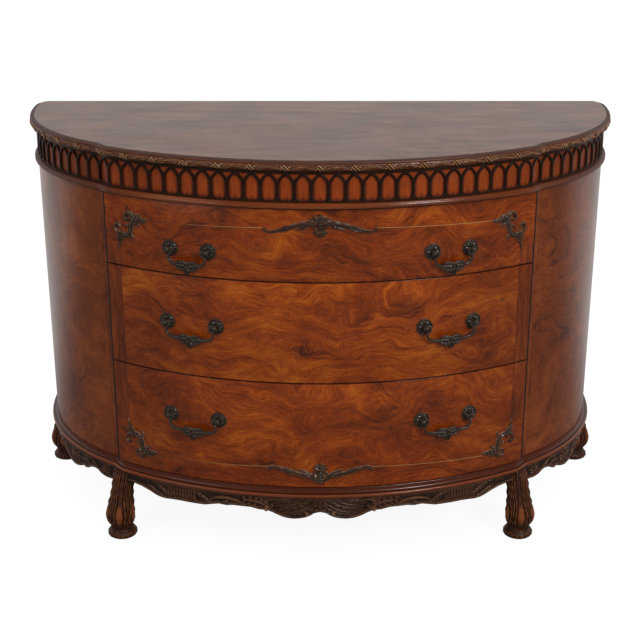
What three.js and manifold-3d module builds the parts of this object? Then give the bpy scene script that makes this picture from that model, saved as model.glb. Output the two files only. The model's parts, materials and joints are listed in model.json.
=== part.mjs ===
// A half-round chest of drawers: three bow-fronted drawers between curved sides, on four carved feet.
// Millimetres, +Z up. The front looks along -Y and the origin is on the floor under the middle.
import * as THREE from 'three';
import { mergeVertices } from 'three/addons/utils/BufferGeometryUtils.js';
import Module from 'manifold-3d';

const wasm = await Module();
wasm.setup();

// Heights, from the floor up
const footHeight = 168;
const baseHeight = 21;
const lowerDrawerHeight = 245;
const middleDrawerHeight = 224;
const upperDrawerHeight = 156;
const waistHeight = 12;
const friezeHeight = 66;
const carvedEdgeHeight = 15;
const topEdgeHeight = 7;

// Plan of the case
const caseHalfWidth = 656;
const widestFromBack = 34;
const backCornerInset = 14;
const bowDepth = 575;
const bowRise = 135;
const seamHalfWidth = 455;
const breakStep = 11;
const breakWidth = 20;
const sideRoundness = 2.25;

// Cells of the pierced fret, which also space the stations along the plan
const bowCells = 28;
const sideCells = 15;
const breakStations = 3;
const planSamples = 400;

// Clearances
const jointGap = 0.3;
const bowJointGap = 0.5;
const drawerGap = 1.5;
const runnerGap = 0.4;
const drawerSideGap = 2;

// Case boards
const panelThickness = 22;
const partitionThickness = 18;
const stileWidth = 8;
const backThickness = 10;
const dustPanelThickness = 12;

// Frieze and its fret
const friezeBoardSetback = 4;
const friezeBoardThickness = 18;
const fretThickness = 5;
const fretBar = 4.6;
const fretTopRail = 3;
const fretBottomRail = 6;
const fretSpringing = 35;
const fretArchRise = 21;
const fretArchSteps = 2;

// Mouldings: how far each stands out of the case
const topRimOffset = 5;
const topEdgeOffset = 13.5;
const topEdgeRound = 2.5;
const carvedEdgeOffset = 14;
const carvedEdgeDepth = 17;
const carvedEdgeRoot = 2;
const waistOffset = 8;
const waistRoot = 3;
const baseOffset = 13;
const baseBeadHeight = 9;
const baseHollowOffset = 5;
const baseTopOffset = 2;

// Apron
const apronOffset = 3;
const apronThickness = 20;
const apronFall = 57;
const apronStep = 24;

// Feet
const footRadius = 34.5;
const footLean = 6;
const footSides = 12;
const frontFootInset = 4;
const backFootInset = 6;
const backFootFromBack = 40;

// Drawers
const frontThickness = 20;
const drawerSideThickness = 12;
const drawerBackThickness = 12;
const drawerBottomThickness = 8;
const drawerBottomLift = 8;
const drawerSideDrop = 10;
const drawerBackClearance = 40;

// Handles
const handleFromSeam = 185;
const upperPostSpacing = 85;
const lowerPostSpacing = 111;
const upperHandleBelowTop = 99;
const middleHandleBelowTop = 106;
const lowerHandleBelowTop = 96;
const rosetteRadius = 18;
const rosetteThickness = 4;
const postNeckRadius = 4.5;
const postReach = 13;
const knobRadius = 6.5;
const knobSides = 8;
const bailPinRadius = 1.8;
const bailPinGap = 0.35;
const bailPinDepth = 4;
const bailArmRadius = 2.8;
const bailArmGap = 0.8;
const bailDrop = 27;
const bailLeafWidth = 10.5;
const bailLeafDrop = 3;
const bailLeafDepth = 6;
const bailTipRadius = 5;
const bailTipLength = 20;
const bailSides = 5;

// Carved mounts on the upper and lower drawer fronts
const reliefHeight = 8;
const cartoucheHalfWidth = 116;
const cartoucheHeight = 51;
const cartoucheInset = 10;
const cartoucheWing = 9;
const cartoucheShellRadius = 14;
const cartoucheCrownRadius = 12;
const cornerWidth = 76;
const cornerHeight = 76;
const cornerFromSeam = 38;
const cornerInset = 33;
const cornerStem = 6;
const cornerBallRadius = 6.5;
const reliefSides = 4;
const domeSides = 6;

// Levels
const baseTop = footHeight + baseHeight;
const lowerSplit = baseTop + lowerDrawerHeight;
const upperSplit = lowerSplit + middleDrawerHeight;
const waistBottom = upperSplit + upperDrawerHeight;
const waistTop = waistBottom + waistHeight;
const topBottom = waistTop + friezeHeight;
const carvedTop = topBottom + carvedEdgeHeight;
const top = carvedTop + topEdgeHeight;

// Colours, roughness and metalness of each finish
const finishes = {
  veneer: [0x74301a, 0.28, 0],
  veneerSide: [0x66402c, 0.3, 0],
  topVeneer: [0x5c3426, 0.2, 0],
  darkWood: [0x38211a, 0.5, 0],
  friezeGround: [0x9a4a1c, 0.4, 0],
  moulding: [0x5a2a1a, 0.35, 0],
  carcass: [0x8a6a48, 0.75, 0],
  bronze: [0x3a332b, 0.4, 0.8],
};

const chest = new THREE.Group();
const depth = bowDepth + carvedEdgeOffset;
chest.position.y = depth / 2;

function add(name, finish, geometry, parent = chest) {
  const [color, roughness, metalness] = finishes[finish];
  const mesh = new THREE.Mesh(geometry, new THREE.MeshStandardMaterial({ color, roughness, metalness }));
  mesh.name = name;
  parent.add(mesh);
  return mesh;
}

// Solids

function tidy(geometry) {
  geometry.deleteAttribute('normal');
  geometry.deleteAttribute('uv');
  const merged = mergeVertices(geometry);
  const index = merged.index.array;
  const kept = [];
  for (let i = 0; i < index.length; i += 3) {
    const [a, b, c] = [index[i], index[i + 1], index[i + 2]];
    if (a !== b && b !== c && c !== a) kept.push(a, b, c);
  }
  merged.setIndex(kept);
  return merged;
}

function signedVolume(geometry) {
  const position = geometry.attributes.position;
  const index = geometry.index.array;
  const corner = () => new THREE.Vector3();
  const [a, b, c] = [corner(), corner(), corner()];
  let sum = 0;
  for (let i = 0; i < index.length; i += 3) {
    a.fromBufferAttribute(position, index[i]);
    b.fromBufferAttribute(position, index[i + 1]);
    c.fromBufferAttribute(position, index[i + 2]);
    sum += a.dot(b.cross(c));
  }
  return sum;
}

function facingOut(geometry) {
  if (signedVolume(geometry) > 0) return geometry;
  const index = Array.from(geometry.index.array);
  for (let i = 0; i < index.length; i += 3) [index[i], index[i + 1]] = [index[i + 1], index[i]];
  geometry.setIndex(index);
  return geometry;
}

// A closed solid through rings of as many points each; flatten gives a ring's points in its own plane
function loft(rings, flatten) {
  const count = rings[0].length;
  const index = [];
  for (let ring = 0; ring + 1 < rings.length; ring++) {
    for (let k = 0; k < count; k++) {
      const a = ring * count + k;
      const b = ring * count + (k + 1) % count;
      index.push(a, b, b + count, a, b + count, a + count);
    }
  }
  const cap = (ring, first, turn) => {
    const outline = ring.map(flatten);
    const around = THREE.ShapeUtils.area(outline) > 0;
    for (const face of THREE.ShapeUtils.triangulateShape(outline, [])) {
      const faceAround = THREE.ShapeUtils.area(face.map((i) => outline[i])) > 0;
      const [a, b, c] = faceAround === (around === turn) ? face : [face[1], face[0], face[2]];
      index.push(first + a, first + b, first + c);
    }
  };
  cap(rings[0], 0, false);
  cap(rings[rings.length - 1], (rings.length - 1) * count, true);
  const geometry = new THREE.BufferGeometry().setFromPoints(rings.flat());
  geometry.setIndex(index);
  return facingOut(geometry);
}

// An upright board cut to a plan
function board(points, low, high) {
  const shape = new THREE.Shape(points);
  const geometry = new THREE.ExtrudeGeometry(shape, { depth: high - low, bevelEnabled: false });
  geometry.translate(0, 0, low);
  return facingOut(tidy(geometry));
}

function toManifold(geometry) {
  const vertProperties = new Float32Array(geometry.attributes.position.array);
  const triVerts = new Uint32Array(geometry.index.array);
  return new wasm.Manifold(new wasm.Mesh({ numProp: 3, vertProperties, triVerts }));
}

function fromManifold(solid) {
  const mesh = solid.getMesh();
  const geometry = new THREE.BufferGeometry();
  geometry.setAttribute('position', new THREE.BufferAttribute(new Float32Array(mesh.vertProperties), 3));
  geometry.setIndex(Array.from(mesh.triVerts));
  return geometry;
}

function joined(geometries) {
  return fromManifold(geometries.map(toManifold).reduce((sum, solid) => sum.add(solid)));
}

function cut(geometry, tools) {
  const solid = toManifold(geometry);
  return fromManifold(tools.map(toManifold).reduce((rest, tool) => rest.subtract(tool), solid));
}

// Plan of the case: the back is at y = 0 and the front is towards -y

const bowRadius = (seamHalfWidth ** 2 + bowRise ** 2) / (2 * bowRise);
const bowCentreY = bowRadius - bowDepth;
const seamAngle = Math.asin(seamHalfWidth / bowRadius);
const backHalfWidth = caseHalfWidth - backCornerInset;

// The right half, from the middle of the front to the back corner, with its outward normals.
// The bow stands breakStep out of this curve, which runs smoothly into the sides.
function halfPlan() {
  const plan = [];
  const add = (x, y, nx, ny) => {
    const place = new THREE.Vector2(x, y);
    const last = plan[plan.length - 1];
    const s = last ? last.s + place.distanceTo(last.place) : 0;
    plan.push({ s, place, normal: new THREE.Vector2(nx, ny).normalize() });
  };
  const radius = bowRadius - breakStep;
  for (let i = 0; i <= planSamples; i++) {
    const angle = seamAngle * i / planSamples;
    add(radius * Math.sin(angle), bowCentreY - radius * Math.cos(angle), Math.sin(angle), -Math.cos(angle));
  }
  const seam = plan[planSamples].place;
  const a = caseHalfWidth;
  const n = sideRoundness;
  const b = (-seam.y - widestFromBack) / (1 - (seam.x / a) ** n) ** (1 / n);
  const start = Math.asin((seam.x / a) ** (n / 2));
  for (let i = 1; i <= planSamples; i++) {
    const t = start + (Math.PI / 2 - start) * i / planSamples;
    const across = Math.sin(t) ** (2 / n);
    const along = Math.max(Math.cos(t), 0) ** (2 / n);
    add(a * across, -widestFromBack - b * along, across ** (n - 1) / a, -(along ** (n - 1)) / b);
  }
  for (let i = 1; i <= planSamples; i++) {
    const share = i / planSamples;
    add(a - backCornerInset * share ** 2, -widestFromBack * (1 - share), 1, 0);
  }
  return plan;
}

const plan = halfPlan();
const seamLength = plan[planSamples].s;
const halfLength = plan[plan.length - 1].s;

function stepAt(s) {
  return breakStep * (1 - THREE.MathUtils.smoothstep(Math.abs(s), seamLength, seamLength + breakWidth));
}

// The point of the plan at length s from the middle, offset outwards
function planPoint(s, offset) {
  const along = Math.min(Math.abs(s), halfLength);
  const next = Math.max(1, plan.findIndex((station) => station.s >= along - Number.EPSILON * halfLength));
  const [p, q] = [plan[next - 1], plan[next]];
  const share = (along - p.s) / (q.s - p.s);
  const place = p.place.clone().lerp(q.place, share);
  place.addScaledVector(p.normal.clone().lerp(q.normal, share), offset);
  return new THREE.Vector2(Math.sign(s) * place.x, Math.min(place.y, 0));
}

function steppedPoint(s, offset) {
  return planPoint(s, offset + stepAt(s));
}

function mirroredStations(half) {
  return [...half.slice(1).reverse().map((s) => -s), ...half];
}

const bowStations = [];
for (let i = 0; i <= bowCells / 2; i++) bowStations.push(2 * seamLength * i / bowCells);
const sideStations = [];
const sideLength = halfLength - seamLength;
for (let i = 1; i <= sideCells; i++) sideStations.push(seamLength + sideLength * i / sideCells);
const friezeStations = mirroredStations([...bowStations, ...sideStations]);
const turn = [];
for (let i = 1; i <= breakStations; i++) turn.push(seamLength + breakWidth * i / breakStations);
const mouldingStations = mirroredStations([
  ...bowStations.filter((s, i) => i % 2 === 0),
  ...turn,
  ...sideStations.filter((s, i) => i % 2 === 0),
]);

// Points of a moulding's face: shares of the way out from its root, and of the way up
function face(shares, root, out, low, high) {
  return shares.map(([across, up]) => [root + across * (out - root), low + up * (high - low)]);
}

// A moulding along the whole plan, from a closed profile of offsets and heights
function sweep(stations, profile) {
  const rings = stations.map((s) => profile.map(([offset, z]) => {
    const place = steppedPoint(s, offset);
    return new THREE.Vector3(place.x, place.y, z);
  }));
  const section = profile.map(([offset, z]) => new THREE.Vector2(offset, z));
  return loft(rings, (point, k) => section[k]);
}

// A slab over the whole plan: levels of offset and height, with further plan points behind
function slab(levels, behind) {
  const rings = levels.map(([offset, z]) => {
    const outline = mouldingStations.map((s) => steppedPoint(s, offset));
    return [...outline, ...behind].map((place) => new THREE.Vector3(place.x, place.y, z));
  });
  return loft(rings, (point) => new THREE.Vector2(point.x, point.y));
}

// Points at an offset of the right side between two distances from the middle, front to back
function sideRun(offset, fromX, backY) {
  const points = plan.map((station) => station.place.clone().addScaledVector(station.normal, offset));
  const first = points.findIndex((point) => point.x >= fromX);
  const [p, q] = [points[first - 1], points[first]];
  const start = p.clone().lerp(q, (fromX - p.x) / (q.x - p.x));
  const startLength = plan[first].s;
  const run = sideStations.filter((s) => s > startLength).map((s) => planPoint(s, offset));
  const kept = run.filter((point) => point.y < backY);
  const before = kept[kept.length - 1];
  const after = run[kept.length] ?? before;
  const share = after.y > before.y ? (backY - before.y) / (after.y - before.y) : 0;
  return [start, ...kept, before.clone().lerp(after, share)];
}

const mirrored = (points) => points.map((point) => new THREE.Vector2(-point.x, point.y)).reverse();

// Points of the bow at a radius, from one side of the middle to the other
function bowRun(radius, halfWidth) {
  const end = Math.asin(halfWidth / radius);
  const stepAngle = 2 * seamAngle / bowCells;
  const inner = Math.ceil(end / stepAngle) - 1;
  const angles = [-end];
  for (let i = -inner; i <= inner; i++) angles.push(i * stepAngle);
  angles.push(end);
  return angles.map((angle) => bowPoint(radius, angle));
}

function bowPoint(radius, angle) {
  return new THREE.Vector2(radius * Math.sin(angle), bowCentreY - radius * Math.cos(angle));
}

const bowY = (radius, x) => bowCentreY - Math.sqrt(radius ** 2 - x ** 2);

const rectangle = (left, right, front, back) => [
  new THREE.Vector2(left, front),
  new THREE.Vector2(right, front),
  new THREE.Vector2(right, back),
  new THREE.Vector2(left, back),
];

// Top

const carvedEdgeShares = [[0, 0], [1, 0.35], [1, 0.7], [0.6, 1]];

function topPanel() {
  const inner = carvedEdgeOffset - carvedEdgeDepth - jointGap;
  const edge = topEdgeOffset - topEdgeRound;
  return slab([
    [inner, topBottom],
    [inner, carvedTop],
    [edge, carvedTop],
    [topEdgeOffset, carvedTop + topEdgeRound],
    [topRimOffset, top],
  ], []);
}

function carvedEdge() {
  const inner = carvedEdgeOffset - carvedEdgeDepth;
  const high = carvedTop - jointGap;
  return sweep(mouldingStations, [
    [inner, topBottom],
    ...face(carvedEdgeShares, carvedEdgeRoot, carvedEdgeOffset, topBottom, high),
    [inner, high],
  ]);
}

// Frieze

const friezeFace = -friezeBoardSetback;

function friezeBoard() {
  const back = friezeFace - friezeBoardThickness;
  const low = waistTop + jointGap;
  const high = topBottom - jointGap;
  return sweep(friezeStations, [[back, low], [friezeFace, low], [friezeFace, high], [back, high]]);
}

// One cell of the fret, centred on its upright, with half an arch on each side
function fretCell(width, height) {
  const half = width / 2;
  const upright = fretBar / 2;
  const reach = half - upright;
  const radius = (reach ** 2 + fretArchRise ** 2) / (2 * reach);
  const end = Math.asin(fretArchRise / radius);
  const inside = (angle) => [
    upright + radius * (1 - Math.cos(angle)),
    fretSpringing + radius * Math.sin(angle),
  ];
  const right = [[half, 0], [half, fretBottomRail], [upright, fretBottomRail], [upright, fretSpringing]];
  for (let i = 1; i <= fretArchSteps; i++) right.push(inside(end * i / fretArchSteps));
  right[right.length - 1][0] = half;
  right.push([half, height]);
  const left = right.map(([x, z]) => [-x, z]).reverse();
  const shape = new THREE.Shape([...right, ...left].map(([x, z]) => new THREE.Vector2(x, z)));
  const outer = radius + fretBar;
  const middle = upright + radius;
  const foot = Math.acos(middle / outer);
  const ceiling = height - fretTopRail;
  const beside = Math.sqrt(Math.max(0, outer ** 2 - (ceiling - fretSpringing) ** 2));
  const shoulder = Math.min(half - upright / 2, middle - beside);
  const gap = [[0, fretSpringing + outer * Math.sin(foot)], [shoulder, ceiling], [-shoulder, ceiling]];
  shape.holes.push(new THREE.Path(gap.map(([x, z]) => new THREE.Vector2(x, z))));
  return shape;
}

// A point of the frieze between two stations, on their chord; neighbouring cells share their ends exactly
function onChord(from, to, share, offset) {
  const nearest = Math.round(share * planSamples ** 2) / planSamples ** 2;
  if (nearest >= 1) return steppedPoint(to, offset);
  return steppedPoint(from, offset).lerp(steppedPoint(to, offset), Math.max(nearest, 0));
}

function friezeFret() {
  const low = waistTop + jointGap;
  const height = topBottom - jointGap - low;
  const cells = [];
  for (let i = 0; i + 1 < friezeStations.length; i++) {
    const [from, to] = [friezeStations[i], friezeStations[i + 1]];
    const width = to - from;
    const shape = fretCell(width, height);
    const geometry = tidy(new THREE.ExtrudeGeometry(shape, { depth: fretThickness, bevelEnabled: false }));
    const position = geometry.attributes.position;
    for (let k = 0; k < position.count; k++) {
      const offset = friezeFace + jointGap + position.getZ(k);
      const place = onChord(from, to, position.getX(k) / width + 1 / 2, offset);
      position.setXYZ(k, place.x, place.y, low + position.getY(k));
    }
    cells.push(facingOut(geometry));
  }
  return joined(cells);
}

// Waist moulding: a board over the whole case whose edge is a bead, notched for the back panel

const backPanelHalfWidth = backHalfWidth - panelThickness - jointGap;
const backNotch = [
  new THREE.Vector2(backPanelHalfWidth + jointGap, 0),
  new THREE.Vector2(backPanelHalfWidth + jointGap, -backThickness - jointGap),
  new THREE.Vector2(-backPanelHalfWidth - jointGap, -backThickness - jointGap),
  new THREE.Vector2(-backPanelHalfWidth - jointGap, 0),
];

const waistShares = [[0, 0], [1, 0.3], [1, 0.7], [0, 1]];

function waistMoulding() {
  return slab(face(waistShares, waistRoot, waistOffset, waistBottom, waistTop), backNotch);
}

// Base moulding: a bead at the bottom, then a hollow up to the drawers

const baseBeadShares = [[0, 0], [1, 0.33], [1, 0.67], [0.25, 1]];
const baseHollowShares = [[1, 0.5], [0, 1]];

function baseMoulding() {
  const bead = footHeight + baseBeadHeight;
  return sweep(mouldingStations, [
    [-panelThickness, footHeight],
    ...face(baseBeadShares, baseHollowOffset, baseOffset, footHeight, bead),
    ...face(baseHollowShares, baseTopOffset, baseHollowOffset, bead, baseTop),
    [-panelThickness, baseTop],
  ]);
}

// Case boards

const boardBackY = -backThickness - jointGap;
const floorTop = baseTop + jointGap;

function caseFloor() {
  const inner = -panelThickness - jointGap;
  const edge = mouldingStations.map((s) => steppedPoint(s, inner));
  const end = new THREE.Vector2(backHalfWidth + inner, boardBackY);
  const outline = [new THREE.Vector2(-end.x, end.y), ...edge.filter((point) => point.y < boardBackY), end];
  return board(outline, footHeight, floorTop);
}

function backPanel() {
  return board(
    rectangle(-backPanelHalfWidth, backPanelHalfWidth, -backThickness, 0), footHeight, topBottom - jointGap,
  );
}

const partitionInner = seamHalfWidth + drawerGap;
const sidePanelStart = partitionInner + stileWidth + jointGap;

function sidePanel(side) {
  const outer = sideRun(0, sidePanelStart, 0);
  const inner = sideRun(-panelThickness, sidePanelStart, 0);
  const outline = [...outer, ...inner.reverse()];
  return board(side > 0 ? outline : mirrored(outline), baseTop + jointGap, waistBottom - jointGap);
}

function partition(side) {
  const outerX = partitionInner + partitionThickness;
  const stileX = partitionInner + stileWidth;
  const front = (x) => sideRun(0, x, 0)[0];
  const rebate = (x) => sideRun(-panelThickness - jointGap, x, 0)[0];
  const outline = [
    new THREE.Vector2(partitionInner, boardBackY),
    front(partitionInner),
    front(stileX),
    rebate(stileX),
    rebate(outerX),
    new THREE.Vector2(outerX, boardBackY),
  ];
  return board(side > 0 ? outline : mirrored(outline), floorTop + jointGap, waistBottom - jointGap);
}

function dustPanel(level) {
  const halfWidth = partitionInner - jointGap;
  const front = bowRun(bowRadius - frontThickness - drawerGap, halfWidth);
  const back = [new THREE.Vector2(halfWidth, boardBackY), new THREE.Vector2(-halfWidth, boardBackY)];
  return board([...front, ...back], level - dustPanelThickness / 2, level + dustPanelThickness / 2);
}

// Feet: carved vases on round pads, leaning outwards at the belly.
// Each row is a height share, a radius share and a lean share.

const footShares = [
  [0, 0.87, 0.5],
  [0.025, 1, 0.5],
  [0.06, 1, 0.5],
  [0.09, 0.87, 0.5],
  [0.12, 0.78, 0.6],
  [0.16, 0.82, 0.8],
  [0.24, 0.94, 1],
  [0.33, 0.98, 1],
  [0.44, 0.93, 0.8],
  [0.56, 0.8, 0.4],
  [0.68, 0.72, 0.15],
  [0.8, 0.7, 0],
  [1, 0.78, 0],
];

function footSolid(foot, clearance) {
  const height = footHeight - jointGap + clearance;
  const outline = footShares.map(([z, r]) => new THREE.Vector2(r * footRadius + clearance, z * height));
  outline.unshift(new THREE.Vector2(0, 0));
  outline.push(new THREE.Vector2(0, height));
  const geometry = tidy(new THREE.LatheGeometry(outline, footSides));
  geometry.rotateX(Math.PI / 2);
  const position = geometry.attributes.position;
  for (let k = 0; k < position.count; k++) {
    const share = position.getZ(k) / height;
    const above = Math.max(1, footShares.findIndex((row) => row[0] >= share - Number.EPSILON));
    const [p, q] = [footShares[above - 1], footShares[above]];
    const lean = footLean * THREE.MathUtils.mapLinear(share, p[0], q[0], p[2], q[2]);
    const x = position.getX(k) + foot.x + lean * foot.outX;
    const y = position.getY(k) + foot.y + lean * foot.outY;
    position.setXYZ(k, x, y, position.getZ(k));
  }
  return facingOut(geometry);
}

// The front feet stand under the seams, and the back feet at the back corners
function footPlaces() {
  const seam = bowPoint(bowRadius - frontFootInset, seamAngle);
  const [outX, outY] = [Math.sin(seamAngle), -Math.cos(seamAngle)];
  const backFootX = caseHalfWidth - backFootInset;
  const places = {};
  for (const [side, hand] of [['left', -1], ['right', 1]]) {
    places[`front_${side}`] = { x: hand * seam.x, y: seam.y, outX: hand * outX, outY };
    places[`back_${side}`] = { x: hand * backFootX, y: -backFootFromBack, outX: hand, outY: 0 };
  }
  return places;
}

const feet = footPlaces();

// Apron: the hem falls by shares of apronFall at shares of the way from the middle to the foot

const frontHemShares = [
  [0, 0.66], [0.04, 0.7], [0.09, 0.9], [0.145, 1], [0.2, 0.9], [0.26, 0.66], [0.31, 0.62], [0.34, 0.56],
  [0.5, 0.52], [0.62, 0.5], [0.78, 0.6], [0.82, 0.64], [0.86, 0.48], [1, 0.42],
];
const sideHemShares = [
  [0, 0.76], [0.09, 0.72], [0.13, 0.6], [0.2, 0.62], [0.25, 0.8], [0.35, 0.95], [0.45, 1], [0.58, 0.9],
  [0.7, 0.6], [0.85, 0.55], [1, 0.6],
];

function hemAt(table, share) {
  const next = Math.max(1, table.findIndex((row) => row[0] >= share - Number.EPSILON));
  const [p, q] = [table[next - 1], table[next]];
  return footHeight - apronFall * THREE.MathUtils.mapLinear(share, p[0], q[0], p[1], q[1]);
}

function apron(from, to, hem, footNames) {
  const steps = Math.ceil((to - from) / apronStep);
  const high = footHeight - jointGap;
  const rings = [];
  for (let i = 0; i <= steps; i++) {
    const s = from + (to - from) * i / steps;
    const low = hem(s);
    const inner = steppedPoint(s, apronOffset - apronThickness);
    const outer = steppedPoint(s, apronOffset);
    rings.push([
      new THREE.Vector3(inner.x, inner.y, low),
      new THREE.Vector3(outer.x, outer.y, low),
      new THREE.Vector3(outer.x, outer.y, high),
      new THREE.Vector3(inner.x, inner.y, high),
    ]);
  }
  const flat = [[0, 0], [1, 0], [1, 1], [0, 1]].map(([x, y]) => new THREE.Vector2(x, y));
  return cut(loft(rings, (point, k) => flat[k]), footNames.map((name) => footSolid(feet[name], jointGap)));
}

function frontApron() {
  const reach = seamLength;
  const hem = (s) => hemAt(frontHemShares, Math.abs(s) / reach);
  return apron(-reach, reach, hem, ['front_left', 'front_right']);
}

function sideApron(side) {
  const name = side > 0 ? 'right' : 'left';
  const end = halfLength - backFootFromBack;
  const hem = (s) => hemAt(sideHemShares, (Math.abs(s) - seamLength) / (end - seamLength));
  const [from, to] = side > 0 ? [seamLength, end] : [-end, -seamLength];
  return apron(from, to, hem, [`front_${name}`, `back_${name}`]);
}

// Drawers

const boxHalfWidth = seamHalfWidth - drawerSideGap;
const boxBackY = -backThickness - drawerBackClearance;
const boxFrontRadius = bowRadius - frontThickness - bowJointGap;

function drawerFront(low, high) {
  const outer = bowRun(bowRadius, seamHalfWidth);
  const inner = bowRun(bowRadius - frontThickness, seamHalfWidth).reverse();
  return board([...outer, ...inner], low + drawerGap / 2, high - drawerGap / 2);
}

function drawerSide(side, low, high) {
  const [outerX, innerX] = [boxHalfWidth, boxHalfWidth - drawerSideThickness];
  const outline = [
    new THREE.Vector2(innerX, bowY(boxFrontRadius, innerX)),
    new THREE.Vector2(outerX, bowY(boxFrontRadius, outerX)),
    new THREE.Vector2(outerX, boxBackY),
    new THREE.Vector2(innerX, boxBackY),
  ];
  return board(side > 0 ? outline : mirrored(outline), low, high);
}

const betweenSides = boxHalfWidth - drawerSideThickness - jointGap;

function drawerBack(low, high) {
  const front = boxBackY - drawerBackThickness;
  return board(rectangle(-betweenSides, betweenSides, front, boxBackY), low, high);
}

function drawerBottom(low) {
  const back = [new THREE.Vector2(betweenSides, boxBackY), new THREE.Vector2(-betweenSides, boxBackY)];
  return board([...bowRun(boxFrontRadius, betweenSides), ...back], low, low + drawerBottomThickness);
}

// Handles, in a frame whose x runs along the hinge line and whose -y points out of the drawer front

const rosetteShares = [[1, 0], [0.9, 0.5], [0.5, 1]];
const knobShares = [[1, -0.4], [1, 0.4], [0.5, 0.9]];

function rosette(postX, holeSide) {
  const profile = [
    [0, 0],
    ...rosetteShares.map(([r, z]) => [r * rosetteRadius, z * rosetteThickness]),
    [postNeckRadius, postReach - knobRadius],
    ...knobShares.map(([r, z]) => [r * knobRadius, postReach + z * knobRadius]),
    [0, postReach + knobRadius],
  ].map(([r, z]) => new THREE.Vector2(r, z));
  const solid = tidy(new THREE.LatheGeometry(profile, knobSides));
  solid.rotateX(Math.PI);
  const boreRadius = bailPinRadius + bailPinGap;
  const boreLength = 2 * knobRadius;
  const bore = new THREE.CylinderGeometry(boreRadius, boreRadius, boreLength, knobSides);
  bore.rotateZ(Math.PI / 2);
  bore.translate(holeSide * (knobRadius + boreLength / 2 - bailPinDepth - bailPinGap), 0, 0);
  bore.rotateZ(-postAngle(postX));
  bore.translate(0, -postReach, 0);
  return cut(facingOut(solid), [facingOut(tidy(bore))]);
}

const postAngle = (postX) => Math.asin(postX / bowRadius);

// Hinge line of a handle's bail: through both knobs
function hingeLine(spacing) {
  const angle = postAngle(spacing / 2);
  const reach = bowRadius + bowJointGap + postReach;
  return { knobX: reach * Math.sin(angle), out: reach * Math.cos(angle) - bowRadius };
}

// Rings along a path in the x-z plane, each with its own half-width and half-depth
function ribbon(points, widths, depths, sides) {
  const turns = Array.from({ length: sides }, (_, k) => 2 * Math.PI * (k + 1 / 2) / sides);
  const rings = points.map((point, i) => {
    const along = heading(points, i);
    return turns.map((angle) => {
      const across = widths[i] * Math.cos(angle);
      const out = depths[i] * Math.sin(angle);
      return new THREE.Vector3(point.x - along.y * across, out, point.y + along.x * across);
    });
  });
  return loft(rings, (point, k) => new THREE.Vector2(Math.cos(turns[k]), Math.sin(turns[k])));
}

// The way a path of points runs at one of them
function heading(points, i) {
  const before = points[Math.max(i - 1, 0)];
  const after = points[Math.min(i + 1, points.length - 1)];
  return after.clone().sub(before).normalize();
}

// Half of the bail: quarter turns round the knob, then shares of the knob's distance and of the drop
const bailTurnShares = [0, 0.35, 0.65];
const bailArmShares = [[0.93, -0.5], [0.88, -0.75], [0.74, -0.94], [0.5, -1], [0.25, -1], [0, -1]];
const leafStartShare = 0.45;

function bail(spacing) {
  const { knobX } = hingeLine(spacing);
  const clear = knobRadius + bailArmGap + bailArmRadius;
  const around = (share) => new THREE.Vector2(
    knobX - clear * Math.cos(share * Math.PI / 2),
    -clear * Math.sin(share * Math.PI / 2),
  );
  const right = [
    new THREE.Vector2(knobX - clear, bailArmRadius),
    ...bailTurnShares.map(around),
    ...bailArmShares.map(([x, z]) => new THREE.Vector2(knobX * x, bailDrop * z)),
  ];
  const growth = right.map((point) => THREE.MathUtils.smoothstep(1 - point.x / knobX, leafStartShare, 1));
  const widths = growth.map((share) => THREE.MathUtils.lerp(bailArmRadius, bailLeafWidth, share));
  const depths = growth.map((share) => THREE.MathUtils.lerp(bailArmRadius, bailLeafDepth, share));
  right.forEach((point, i) => { point.y -= bailLeafDrop * growth[i]; });
  const last = right.length - 1;
  const left = right.slice(0, last).map((point) => new THREE.Vector2(-point.x, point.y));
  const mirror = (list) => [...list.slice(0, last), ...list.slice().reverse()];
  const loop = ribbon([...left, ...right.slice().reverse()], mirror(widths), mirror(depths), bailSides);
  const tip = new THREE.CylinderGeometry(bailTipRadius, bailTipRadius / 4, bailTipLength, bailSides);
  tip.rotateX(Math.PI / 2);
  tip.translate(0, 0, -bailDrop - bailLeafDrop - bailTipLength / 2);
  const pinTip = knobX - knobRadius + bailPinDepth;
  const pinRoot = knobX - clear;
  const pins = [-1, 1].map((side) => {
    const pin = new THREE.CylinderGeometry(bailPinRadius, bailPinRadius, pinTip - pinRoot, bailSides);
    pin.rotateZ(Math.PI / 2);
    pin.translate(side * (pinTip + pinRoot) / 2, 0, 0);
    return facingOut(tidy(pin));
  });
  return joined([loop, facingOut(tidy(tip)), ...pins]);
}

// Carved relief on the bow, from points in length along the plan and height

function onBow(s, out, z) {
  const place = bowPoint(bowRadius + bowJointGap + out, s / (bowRadius - breakStep));
  return new THREE.Vector3(place.x, place.y, z);
}

// A carved stem with a flat back, which tapers between two shares of its size
function stem(points, width, tapers) {
  const turns = Array.from({ length: reliefSides }, (_, k) => Math.PI * k / (reliefSides - 1));
  const rings = points.map((middle, i) => {
    const along = heading(points, i);
    const size = THREE.MathUtils.lerp(tapers[0], tapers[1], i / (points.length - 1));
    return turns.map((angle) => {
      const across = width * size * Math.cos(angle);
      const out = reliefHeight * size * Math.sin(angle);
      return onBow(middle.x - along.y * across, out, middle.y + along.x * across);
    });
  });
  return loft(rings, (point, k) => new THREE.Vector2(Math.cos(turns[k]), Math.sin(turns[k])));
}

const domeShares = [[1, 0], [0.95, 0.5], [0.5, 1]];

function dome(centre, radius) {
  const turns = Array.from({ length: domeSides }, (_, k) => 2 * Math.PI * k / domeSides);
  const rings = domeShares.map(([size, up]) => turns.map((angle) => onBow(
    centre.x + radius * size * Math.cos(angle), reliefHeight * up, centre.y + radius * size * Math.sin(angle),
  )));
  return loft(rings, (point, k) => new THREE.Vector2(Math.cos(turns[k]), Math.sin(turns[k])));
}

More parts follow.
